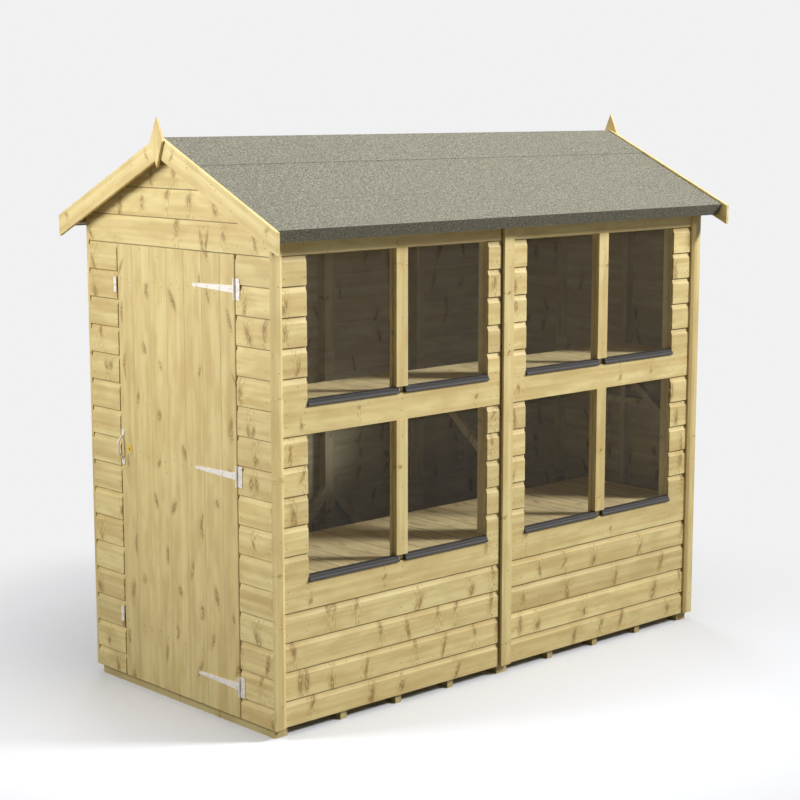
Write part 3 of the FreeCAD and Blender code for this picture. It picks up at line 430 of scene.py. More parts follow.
@dataclass(frozen=True)
class Pine:
    """Treated pine, board by board: grain, branch and pin knots, joints, dirt and painted shade under laps, a
    sawn or faded face.
    """

    name: str
    grain: Grain
    branches: Knots = BRANCHES_ON_TRIM
    pitch: float = 0.111
    courses: tuple[Courses, ...] = (Courses(),)
    level_bands: tuple[tuple[float, float], ...] = ()
    level_grain: Grain = Grain.LEVEL_ON_FRONT
    apart: bool = True
    tone: float = 0.13
    weather_side: Triple | None = None
    inner_face: float = 0.0
    lap_dirt_and_shade: tuple[float, float] = (0.0065, 0.0030)
    sawn: float = 0.0
    faded: float = 0.0
    joint_line: JointLine | None = None
    value: float = 1.0
    figure: float = 1.0

    def directions(self, graph: Graph) -> tuple[Field, Field]:
        """Distances along and across the grain, turned where level timbers cross the others.

        Args:
            graph: the material's tree.

        Returns:
            Along and across, in metres.
        """
        along, across = (graph.along(direction) for direction in self.grain.value)
        if self.level_bands:
            height = graph.along(Z_AXIS)
            level: Value = 0.0
            for low, high in self.level_bands:
                level = (height > low) * (height < high) + level
            level_along, level_across = (graph.along(direction) for direction in self.level_grain.value)
            along = along + (level_along - along) * level
            across = across + (level_across - across) * level
        return along, across

    def boards(self, along: Field, across: Field) -> tuple[Field, Field]:
        """Number of the board, and the distance across it from its joint.

        Args:
            along: distance along the grain.
            across: distance across the grain.

        Returns:
            The board's number and the distance in metres.
        """
        first = self.courses[0]
        joint: Value = first.joint
        length: Value = first.length
        shift: Value = first.shift
        stretch: Value = 0.0
        for before, after in pairwise(self.courses):
            past = across > after.start
            joint = past * (after.joint - before.joint) + joint
            length = past * (after.length - before.length) + length
            shift = past * (after.shift - before.shift) + shift
            stretch = past + stretch
        rows = (across - joint) / self.pitch
        row = rows.floor()
        piece = ((along + shift) / length).floor()
        # The steps keep the numbers of boards in other pieces and stretches apart.
        number = row + piece * 37.0 + stretch * 91.0
        return number, (rows - row) * self.pitch

    def knots(self, graph: Graph, habit: Knots, along: Field, inside: Field, board: Field) -> KnotMarks:
        """Marks of one kind of knot, at most one in each space along a board.

        Args:
            graph: the material's tree.
            habit: the kind of knot.
            along: distance along the grain.
            inside: distance across the board.
            board: the board's number.

        Returns:
            The marks.
        """
        start, _, _ = graph.chances(board, 3.0, habit.seed)
        spaces = along / habit.spacing + start * 11.0
        space = spaces.floor()
        there, place, height = graph.chances(space, board, habit.seed + 0.3)
        lean, long, short = graph.chances(space, board, habit.seed + 0.6)
        run = (spaces - space - place.between(KNOT_PLACES)) * habit.spacing
        feather = FEATHERS.read(graph, along, inside, board)
        away = abs(run)
        if habit.forked:
            fork, _, _ = graph.chances(space, board, habit.seed + 0.9)
            run = run + (away - habit.short[1] - run) * (fork < habit.forked)
        rise = inside - height.between(KNOT_HEIGHTS) * self.pitch
        upset = away.ease(habit.upset, 0.0) * abs(rise).ease(habit.spread, 0.0)
        angle = lean.between(habit.lean)
        cosine = angle.cosine()
        sine = angle.sine()
        # From here on, distances are in half sizes of the knot, so that its rim lies about one away.
        lengthwise = (run * cosine + rise * sine) / long.between(habit.long)
        edgewise = (rise * cosine - run * sine) / short.between(habit.short)
        far = (lengthwise * lengthwise + edgewise * edgewise) ** 0.5 + (feather - 0.5) * FEATHERING
        present = there < habit.share
        return KnotMarks(
            body=far.ease(1.6, 0.25) * feather.ease(0.28, 0.58) * present,
            rim=far.ease(0.40, 0.85) * far.ease(1.30, 0.9) * edgewise.ease(0.6, -0.5) * present,
            halo=far.ease(2.6, 0.7) * present,
            upset=upset * present,
            feather=feather,
            edge=edgewise.ease(-0.9, 0.6),
        )

    def material(self) -> bpy.types.Material:
        """Build the material.

        Returns:
            The finished material.
        """
        graph = Graph.of_material(self.name)
        along, across = self.directions(graph)
        number, inside = self.boards(along, across)
        board = number if self.apart else number * 0.0
        tone, start, side = graph.chances(board, 7.0, 5.0)
        branches = self.knots(graph, self.branches, along, inside, number)
        pins = self.knots(graph, PINS, along, inside, number)
        bent = across + branches.halo * branches.edge * KNOT_SWERVE
        bands = BANDS.read(graph, along, bent, shift=(start * 9.0, side * 9.0))
        rings = RINGS.read(graph, along, bent, shift=(side * 5.0, start * 7.0))
        clouds = CLOUDS.read(graph, along, across, board)
        fibres = FIBRES.read(graph, along, bent, board)
        crowds = CROWDS.read(graph, along, across, board).ease(0.38, 0.56)
        ripe = (bands.ease(0.32, 0.68) - 0.5) * self.figure + 0.5
        wood = graph.mix(ripe, PALE_PINE, RIPE_PINE)
        late = rings.ease(0.48, 0.80) * MARK.rings + clouds.ease(0.40, 0.66) * MARK.clouds
        wood = graph.mix(late + fibres.ease(0.45, 0.75) * MARK.fibres, wood, LATE_WOOD)
        lift = (tone - 0.5) * self.tone + self.value
        wood = graph.node("ShaderNodeHueSaturation", None, {"Value": lift, "Color": wood}).outputs["Color"]
        stain = branches.halo * MARK.halo + branches.upset * branches.feather.ease(0.47, 0.66) * MARK.upset
        parted = branches.upset * branches.feather.ease(0.47, 0.32)
        for share, colour in (
            (stain, AMBER), (parted * MARK.parted, PALE_PINE), (branches.body * MARK.body, KNOT_PALE),
            (branches.rim * MARK.rim, KNOT_DARK), (pins.body * crowds * MARK.pins, KNOT_DARK),
        ):
            wood = graph.mix(share, wood, colour)
        bare: Value = 1.0
        if self.weather_side:
            # Dirt and painted shade darken the top of each board's outside face, in the recess under the lap
            # above.
            lap_dirt_and_shade = inside.ease(*(self.pitch - reach for reach in self.lap_dirt_and_shade))
            outside = graph.along(self.weather_side) > self.inner_face
            wood = graph.mix(lap_dirt_and_shade * outside * MARK.lap_dirt_and_shade, wood, JOINT_DIRT_AND_SHADE)
            bare = 1.0 - outside
        if self.sawn:
            wood = graph.mix(bare * self.sawn, wood, SAWN_TINT, "MULTIPLY")
        if self.faded:
            wood = graph.mix(self.faded, wood, FADED_PINE)
        # Joint lines: pale painted light in the door's grooves, dark dirt and painted shade in the slats'
        # gaps.
        if self.joint_line:
            wide, narrow = self.joint_line.width, self.joint_line.width / 2
            edge = inside.ease(wide, narrow).larger(inside.ease(self.pitch - wide, self.pitch - narrow))
            wood = graph.mix(edge * self.joint_line.share, wood, self.joint_line.colour)
        relief = fibres * 0.5 + rings * 0.5 - branches.body * 0.4
        return graph.finish({
            "Base Color": wood,
            "Roughness": fibres * 0.2 + 0.52 - branches.body * 0.12,
            "Normal": graph.bump(relief, 0.35, 0.0009),
        })


@dataclass(frozen=True)
class Felt:
    """Mineral roofing felt: pale slate grit in bitumen, darker where it folds down over the eaves."""

    edge: float
    name: str = "mineral_felt"
    grit: float = 320.0
    coarse: float = 0.42
    patch: float = 5.0
    turn: float = 0.003
    worn: Colour = shade(116, 114, 100)
    fold: Colour = shade(210, 207, 198)
    stones: tuple[tuple[float, Colour], ...] = (
        (0.38, shade(74, 72, 63)), (0.47, shade(113, 111, 97)), (0.55, shade(133, 130, 114)),
        (0.64, shade(178, 174, 156)))

    def material(self) -> bpy.types.Material:
        """Build the material.

        Returns:
            The finished material.
        """
        graph = Graph.of_material(self.name)
        place = graph.position()
        grit = graph.noise(place, self.grit, 2.0)
        coarse = graph.noise(place, self.grit * self.coarse, 1.0)
        patches = graph.noise(place, self.patch, 2.0)
        speckle = grit * 0.65 + coarse * 0.35
        stone = graph.node("ShaderNodeValToRGB", {"stops": self.stones}, {"Fac": speckle}).outputs["Color"]
        stone = graph.mix(patches.ease(0.35, 0.7) * 0.16, stone, self.worn)
        down = abs(graph.along((0.0, ROOF_RUN, 0.0))) - graph.along((0.0, 0.0, ROOF_FALL))
        folded = down.ease(self.edge - self.turn, self.edge - self.turn / 2)
        stone = graph.mix(folded, stone, graph.mix(1.0, stone, self.fold, "MULTIPLY"))
        return graph.finish({
            "Base Color": stone,
            "Roughness": speckle * 0.2 + 0.8,
            "Normal": graph.bump(speckle, 0.6, 0.0012),
        })


@dataclass(frozen=True)
class Glass:
    """Thin clear pane whose grey colour is painted reflection, with faint dust and streaks."""

    name: str = "pane_glass"
    cover: float = 0.072
    streaks: Streaks = Streaks(14.0, 1.4)
    dust: float = 60.0
    dusty_painted_reflection: tuple[Colour, Colour] = (shade(121, 117, 108), shade(141, 137, 127))

    def material(self) -> bpy.types.Material:
        """Build the material.

        Returns:
            The finished material.
        """
        graph = Graph.of_material(self.name)
        streaks = self.streaks.read(graph, graph.along(X_AXIS), graph.along(Z_AXIS))
        dust = graph.noise(graph.position(), self.dust, 2.0)
        # The pane's grey colour is painted reflection, a little lighter where dust lies.
        dusty_painted_reflection = graph.mix(dust.ease(0.4, 0.8) * 0.5, *self.dusty_painted_reflection)
        return graph.finish({
            "Base Color": dusty_painted_reflection,
            "Alpha": (streaks + 0.5) * self.cover,
            "Roughness": dust * 0.05 + 0.02,
            "IOR": 1.5,
        })


@dataclass(frozen=True)
class Metal:
    """Plated or polished metal with a spangle of flat crystals and dull handled patches."""

    name: str
    bright: Colour
    dull: Colour
    spangle: float
    roughness: float
    metallic: float
    patch: float = 45.0

    def material(self) -> bpy.types.Material:
        """Build the material.

        Returns:
            The finished material.
        """
        graph = Graph.of_material(self.name)
        place = graph.position()
        inputs = {"Vector": place, "Scale": self.spangle}
        cells = graph.node("ShaderNodeTexVoronoi", {"feature": "F1"}, inputs)
        parts = graph.node("ShaderNodeSeparateColor", None, {0: cells.outputs["Color"]})
        crystal = Field(graph, parts.outputs[0])
        handled = graph.noise(place, self.patch, 3.0)
        share = crystal * 0.45 + handled.ease(0.45, 0.75) * 0.4
        return graph.finish({
            "Base Color": graph.mix(share, self.bright, self.dull),
            "Metallic": self.metallic,
            "Roughness": crystal * 0.12 + handled * 0.15 + self.roughness,
            "Normal": graph.bump(crystal, 0.12, 0.0003),
        })


@dataclass(frozen=True)
class Coating:
    """Moulded plastic or lacquer: one dark shade, scuffed in streaks, with a fine skin."""

    name: str
    body: Colour
    scuffed: Colour
    roughness: float
    skin: float
    scuffs: Streaks = Streaks(5.0, 160.0)

    def material(self) -> bpy.types.Material:
        """Build the material.

        Returns:
            The finished material.
        """
        graph = Graph.of_material(self.name)
        skin = graph.noise(graph.position(), self.skin, 2.0)
        scuffs = self.scuffs.read(graph, graph.along(X_AXIS), graph.along(Z_AXIS)).ease(0.52, 0.75)
        return graph.finish({
            "Base Color": graph.mix(scuffs * 0.6, self.body, self.scuffed),
            "Roughness": skin * 0.2 + self.roughness,
            "Normal": graph.bump(skin, 0.25, 0.0004),
        })


ZINC = Metal("bright_zinc", shade(241, 234, 225), shade(219, 211, 201), 170.0, 0.46, 0.22)
BRASS = Metal("rubbed_brass", shade(232, 204, 88), shade(198, 164, 66), 260.0, 0.3, 0.45)
NAIL_STEEL = Metal("nail_steel", shade(142, 118, 76), shade(108, 88, 54), 700.0, 0.45, 0.2)
DRIP_PLASTIC = Coating("drip_plastic", shade(43, 41, 39), shade(64, 61, 58), 0.42, 300.0)
LOCK_LACQUER = Coating("lock_lacquer", shade(30, 29, 28), shade(60, 57, 52), 0.28, 420.0)


def stand(name: str, data: bpy.types.ID) -> bpy.types.Object:
    """Put a mesh, a light or a camera into the scene.

    Args:
        name: the object's name.
        data: what it holds.

    Returns:
        The object, at the origin.
    """
    thing = bpy.data.objects.new(name, data)
    bpy.context.scene.collection.objects.link(thing)
    return thing


class Assembly:
    """Part of the shed whose nodes are dressed together and which may add small steel fastenings."""

    def paint(self, material: bpy.types.Material, *nodes: str) -> None:
        """Give nodes of the frame a finish.

        Args:
            material: the finish.
            nodes: names of the nodes.
        """
        for name in nodes:
            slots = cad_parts[name].data.materials
            slots.clear()
            slots.append(material)
            LOG.info("%s finished with %s", name, material.name)

    def add(self, mesh: bmesh.types.BMesh, name: str, material: bpy.types.Material, body: str) -> None:
        """Turn a bmesh of fastenings into a piece that rides on a body.

        Args:
            mesh: the bmesh, which is freed.
            name: the piece's name.
            material: its finish.
            body: the body that carries it.
        """
        data = bpy.data.meshes.new(name)
        mesh.to_mesh(data)
        mesh.free()
        data.materials.append(material)
        piece = stand(name, data)
        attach(piece, body)
        LOG.info("%s added, %d faces, on %s", name, len(data.polygons), body)


@dataclass(frozen=True)
class Seat:
    """Where a fastening sits: a point on a face and the way the face looks."""

    point: Triple
    outward: Triple

    def matrix(self, roll: float) -> Matrix:
        """Matrix for a fastening made at the origin with its head up Z, rolled about its own axis."""
        turn = Vector(self.outward).to_track_quat("Z", "Y").to_matrix().to_4x4()
        return Matrix.Translation(self.point) @ turn @ Matrix.Rotation(roll, 4, "Z")


@dataclass(frozen=True)
class Fastener:
    """Head of a nail or screw: a low dome with a dimple, or with a cross recess. Shares are of its size."""

    radius: float
    height: float
    sides: int
    rim: float
    cross: bool = False
    taper: float = 0.72
    pinch: float = 0.4
    sink: float = 0.6
    roll: float = 2.4

    def head(self) -> bmesh.types.BMesh:
        """Model one head at the origin, standing up Z.

        Returns:
            The head.
        """
        mesh = bmesh.new()
        bmesh.ops.create_cone(
            mesh, cap_ends=True, segments=self.sides, radius1=self.radius, radius2=self.radius * self.taper,
            depth=self.height, matrix=Matrix.Translation((0, 0, self.height / 2)))
        top = max(mesh.faces, key=lambda face: face.calc_center_median().z)
        bmesh.ops.inset_individual(mesh, faces=[top], thickness=self.radius * self.rim, depth=0.0)
        if self.cross:
            for number, vertex in enumerate(top.verts):
                if number % (self.sides // 4):
                    vertex.co.xy *= self.pinch
        sunk = bmesh.ops.extrude_discrete_faces(mesh, faces=[top])["faces"]
        bmesh.ops.translate(mesh, verts=sunk[0].verts, vec=(0, 0, -self.sink * self.height))
        return mesh

    def set(self, seats: Iterable[Seat]) -> bmesh.types.BMesh:
        """Model one head at every seat.

        Args:
            seats: where the heads go.

        Returns:
            All the heads in one bmesh.
        """
        pattern = bpy.data.meshes.new("head_pattern")
        head = self.head()
        head.to_mesh(pattern)
        head.free()
        mesh = bmesh.new()
        for number, seat in enumerate(seats):
            known = len(mesh.verts)
            mesh.from_mesh(pattern)
            mesh.verts.ensure_lookup_table()
            bmesh.ops.transform(mesh, matrix=seat.matrix(number * self.roll), verts=mesh.verts[known:])
        bpy.data.meshes.remove(pattern)
        return mesh


def ends(low: float, high: float, inset: float) -> tuple[float, float]:
    """Two places, each an inset in from one end."""
    return low + inset, high - inset


NAIL = Fastener(0.0022, 0.0006, 8, 0.3)
STRAP_SCREW = Fastener(0.0046, 0.0016, 12, 0.16, cross=True)
SMALL_SCREW = Fastener(0.0032, 0.0012, 12, 0.16, cross=True)


def board_boxes(node: str) -> list[tuple[Vector, Vector]]:
    """Lowest and highest corner of each separate board of a node.

    Args:
        node: the node's name.

    Returns:
        The boards' boxes, from the lowest up.
    """
    mesh = bmesh.new()
    mesh.from_mesh(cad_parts[node].data)
    bmesh.ops.remove_doubles(mesh, verts=mesh.verts, dist=1e-5)
    waiting = set(mesh.verts)
    boxes = []
    while waiting:
        stack = [waiting.pop()]
        corners = []
        while stack:
            vertex = stack.pop()
            corners.append(vertex.co.copy())
            for edge in vertex.link_edges:
                other = edge.other_vert(vertex)
                if other in waiting:
                    waiting.discard(other)
                    stack.append(other)
        low = Vector(min(corner[axis] for corner in corners) for axis in range(3))
        high = Vector(max(corner[axis] for corner in corners) for axis in range(3))
        boxes.append((low, high))
    mesh.free()
    return sorted(boxes, key=lambda pair: (round(pair[0].z, 4), pair[0].x, pair[0].y))


@dataclass(frozen=True)
class CladWall(Assembly):
    """One clad wall: its boards, the way they look, the studs that take their nails, and their joints."""

    name: str
    nodes: tuple[str, ...]
    normal: Triple
    studs: tuple[float, ...]
    courses: tuple[Courses, ...]
    inner_face: float
    nail_rise: float = 0.028
    nail_stagger: float = 0.006
    end_margin: float = 0.008

    def pine(self) -> Pine:
        """Finish of the boards, weathered outside and sawn inside."""
        grain = Grain.LEVEL_ON_GABLE if self.normal[0] else Grain.LEVEL_ON_FRONT
        return Pine(
            self.name + "_shiplap", grain, BRANCHES_ON_CLADDING, courses=self.courses,
            weather_side=self.normal, inner_face=self.inner_face, sawn=1.0)

    def nails(self) -> Iterator[Seat]:
        """One nail where each board crosses each stud, a little above the board's foot.

        Returns:
            The nails' seats, one by one.
        """
        run = 1 if self.normal[0] else 0
        for node in self.nodes:
            for low, high in board_boxes(node):
                for number, stud in enumerate(self.studs):
                    if low[run] + self.end_margin < stud < high[run] - self.end_margin:
                        point = [high[axis] if self.normal[axis] > 0 else low[axis] for axis in range(3)]
                        point[run] = stud + (number % 2 - 0.5) * self.nail_stagger
                        point[2] = low.z + self.nail_rise
                        yield Seat(tuple(point), self.normal)

    def build(self, steel: bpy.types.Material) -> None:
        """Dress the boards and drive the nails, whose finish is given."""
        self.paint(self.pine().material(), *self.nodes)
        self.add(NAIL.set(self.nails()), self.name + "_nails", steel, "shed")


FRONT_COURSES = (
    Courses(0.0255, 1.3, 0.0),
    Courses(0.57225, 0.6, 0.0, start=0.52),
    Courses(1.230, 0.6, 0.0, start=1.18),
)
DOOR_GABLE_COURSES = (Courses(0.009, 0.7, 0.0), Courses(0.009, 4.0, 2.0, start=1.784))
FAR_GABLE_COURSES = (Courses(0.009, 4.0, 2.0),)
BACK_COURSES = (Courses(0.009, 1.3, 0.0),)
FRONT_STUDS = (-1.142, -1.054, -0.571, -0.089, -0.056, 0.052, 0.102, 0.581, 1.061, 1.142)
BACK_STUDS = (-1.142, -0.546, -0.040, 0.040, 0.546, 1.142)
DOOR_GABLE_STUDS = (-0.546, -0.392, 0.392, 0.546)
FAR_GABLE_STUDS = (-0.546, -0.201, 0.201, 0.546)
SIDE_INNER, GABLE_INNER = 0.5615, 1.2015
CLAD_WALLS = (
    CladWall(
        "front", ("front_left_cladding", "front_right_cladding"), FRONTWARD, FRONT_STUDS, FRONT_COURSES,
        SIDE_INNER),
    CladWall(
        "back", ("back_left_cladding", "back_right_cladding"), Y_AXIS, BACK_STUDS, BACK_COURSES, SIDE_INNER),
    CladWall(
        "door_gable", ("door_gable_cladding",), DOORWARD, DOOR_GABLE_STUDS, DOOR_GABLE_COURSES, GABLE_INNER),
    CladWall("far_gable", ("far_gable_cladding",), X_AXIS, FAR_GABLE_STUDS, FAR_GABLE_COURSES, GABLE_INNER),
)


@dataclass(frozen=True)
class Windows(Assembly):
    """Flat rails, mullions, panes and drip bars of the front."""

    rail_levels: tuple[float, ...] = (0.505, 1.163, 1.822)
    rail_studs: tuple[float, ...] = (
        -1.142, -1.054, -0.5715, -0.089, -0.050, 0.050, 0.102, 0.5815, 1.061, 1.142)
    nail_pair: tuple[tuple[float, float], ...] = ((0.0, 0.0), (0.004, 0.045))
    mullion_shares: tuple[float, ...] = (0.12, 0.5, 0.88)

    def nails(self) -> Iterator[Seat]:
        """Pairs of nails where the flat rails cross the studs, and single ones down the mullions.

        Returns:
            The nails' seats, one by one.
        """
        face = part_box("front_left_rails")[0].y
        for stud in self.rail_studs:
            for level in self.rail_levels:
                for shift, rise in self.nail_pair:
                    yield Seat((stud + shift, face, level + rise), FRONTWARD)
        for low, high in board_boxes("mullion_strips"):
            middle = (low.x + high.x) / 2
            for share in self.mullion_shares:
                yield Seat((middle, low.y, low.z + share * (high.z - low.z)), FRONTWARD)

    def build(self, steel: bpy.types.Material) -> None:
        """Dress the windows and drive their nails.

        Args:
            steel: the nails' finish.
        """
        rails = Pine(
            "rail_pine", Grain.LEVEL_ON_FRONT, pitch=0.13155,
            courses=(Courses(0.460, 3.0, 0.0),), tone=0.06)
        mullions = Pine(
            "mullion_pine", Grain.UPRIGHT, pitch=0.2,
            courses=(Courses(-1.25, 0.65775, 0.1),), tone=0.08)
        self.paint(rails.material(), "front_left_rails", "front_right_rails")
        self.paint(mullions.material(), "mullion_strips")
        self.paint(Glass().material(), "front_left_panes", "front_right_panes")
        self.paint(DRIP_PLASTIC.material(), "drip_bars")
        self.add(NAIL.set(self.nails()), "window_rail_nails", steel, "shed")


@dataclass(frozen=True)
class Trim(Assembly):
    """Corner trims and cover strips, nailed down their middles, with the bargeboards and finials."""

    uprights: tuple[str, ...] = (
        "front_left_corner_trim", "front_right_corner_trim", "back_left_corner_trim",
        "back_right_corner_trim", "front_cover_strip", "back_cover_strip")
    nail_step: float = 0.31
    first_nail: float = 0.09
    nail_shift: float = 0.004
    barge_nails: tuple[tuple[float, float], ...] = (
        (0.06, 0.028), (0.1, 0.058), (0.5, 0.028), (0.54, 0.058), (0.9, 0.028))

    def nails(self) -> Iterator[Seat]:
        """Nails down each upright, and near both ends and the middle of each bargeboard.

        Returns:
            The nails' seats, one by one.
        """
        for node in self.uprights:
            low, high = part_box(node)
            face, outward = (low.y, FRONTWARD) if low.y < 0 else (high.y, Y_AXIS)
            level = low.z + self.first_nail
            while level < high.z - self.first_nail / 2:
                yield Seat(((low.x + high.x) / 2 + self.nail_shift, face, level), outward)
                level += self.nail_step
        for gable, outward in (("door_gable", DOORWARD), ("far_gable", X_AXIS)):
            for side in ("front", "back"):
                low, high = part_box(f"{gable}_{side}_bargeboard")
                reach = low.y if side == "front" else high.y
                face = low.x if outward == DOORWARD else high.x
                for share, drop in self.barge_nails:
                    fall = abs(reach) * share * math.tan(ROOF_PITCH)
                    yield Seat((face, reach * share, high.z - fall - drop), outward)

    def build(self, steel: bpy.types.Material) -> None:
        """Dress the trim and drive its nails.

        Args:
            steel: the nails' finish.
        """
        upright = Pine(
            "upright_trim_pine", Grain.UPRIGHT, pitch=0.118,
            courses=(Courses(-0.6405),), tone=0.06)
        front = Pine(
            "front_barge_pine", Grain.FRONT_SLOPE, pitch=0.15, courses=(Courses(1.89),), tone=0.06,
            value=1.03)
        back = replace(front, name="back_barge_pine", grain=Grain.BACK_SLOPE)
        finial = Pine(
            "finial_pine", Grain.UPRIGHT_ON_GABLE, NO_BRANCHES, pitch=0.2, courses=(Courses(-0.1),),
            value=1.03)
        self.paint(upright.material(), *self.uprights)
        self.paint(front.material(), "door_gable_front_bargeboard", "far_gable_front_bargeboard")
        self.paint(back.material(), "door_gable_back_bargeboard", "far_gable_back_bargeboard")
        self.paint(finial.material(), "door_gable_finial", "far_gable_finial")
        self.add(NAIL.set(self.nails()), "trim_nails", steel, "shed")


@dataclass(frozen=True)
class Carcass(Assembly):
    """Everything that carries the shed: floor, wall frames, roof timbers and the felt on them."""

    rail_bands: tuple[tuple[float, float], ...] = (
        (0.0, 0.084), (0.44, 0.590), (1.10, 1.240), (1.765, 1.822), (1.884, 2.0))

    def felt_edge(self) -> float:
        """How far down the slope the felt turns over the eaves, in metres from the slope's zero line."""
        corners = (vertex.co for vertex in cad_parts["front_roof_felt"].data.vertices)
        return max(abs(corner.y) * ROOF_RUN - corner.z * ROOF_FALL for corner in corners)

    def build(self) -> None:
        """Dress the carcass."""
        walls = Pine("wall_frame_pine", Grain.UPRIGHT, level_bands=self.rail_bands, **ROUGH_TIMBER)
        # The window frames are faded to pale grey and lifted: a painted veil of the glass in front of them,
        # and painted light on their returns.
        planed = replace(walls, name="window_frame_pine", sawn=0.0, faded=0.4, value=1.14)
        gables = replace(walls, name="gable_frame_pine", level_grain=Grain.LEVEL_ON_GABLE)
        roof = Pine("roof_timber_pine", Grain.FLAT_END_TO_END, **ROUGH_TIMBER)
        truss = Pine("truss_pine", Grain.LEVEL_ON_GABLE, **ROUGH_TIMBER)
        # The bearers' lower value is painted shade, darkening the gap under the floor.
        bearers = Pine(
            "bearer_pine", Grain.FLAT_FRONT_TO_BACK, pitch=0.14, tone=0.08, value=0.78)
        decking = Pine(
            "decking_pine", Grain.FLAT_END_TO_END, BRANCHES_ON_DOOR, pitch=0.112,
            courses=(Courses(-0.56, 1.3, 0.0),))
        self.paint(planed.material(), "front_left_frame", "front_right_frame", "glazing_beads")
        self.paint(walls.material(), "back_left_frame", "back_right_frame")
        self.paint(gables.material(), "door_gable_frame", "far_gable_frame")
        self.paint(roof.material(), "front_roof_frame", "back_roof_frame")
        self.paint(truss.material(), "roof_truss")
        self.paint(bearers.material(), "floor_bearers")
        self.paint(
            decking.material(), "left_floor_boards", "right_floor_boards", "front_roof_boards",
            "back_roof_boards")
        self.paint(Felt(self.felt_edge()).material(), "front_roof_felt", "back_roof_felt", "ridge_felt")


@dataclass(frozen=True)
class Staging(Assembly):
    """Bench and shelf: slats laid front to back on their frames."""

    slat_pitch: float = 0.110095
    first_slat: float = -1.156

    def build(self) -> None:
        """Dress the staging."""
        slats = Pine(
            "bench_slat_pine", Grain.SLATS, BRANCHES_ON_DOOR, pitch=self.slat_pitch,
            courses=(Courses(self.first_slat, 4.0, 2.0),), tone=0.14, faded=0.3,
            joint_line=SLAT_JOINT, value=1.18)
        frames = Pine("bench_frame_pine", Grain.FLAT_END_TO_END, value=0.78, **ROUGH_TIMBER)
        self.paint(slats.material(), "bench_top", "shelf_top")
        self.paint(frames.material(), "bench_frame", "shelf_frame")


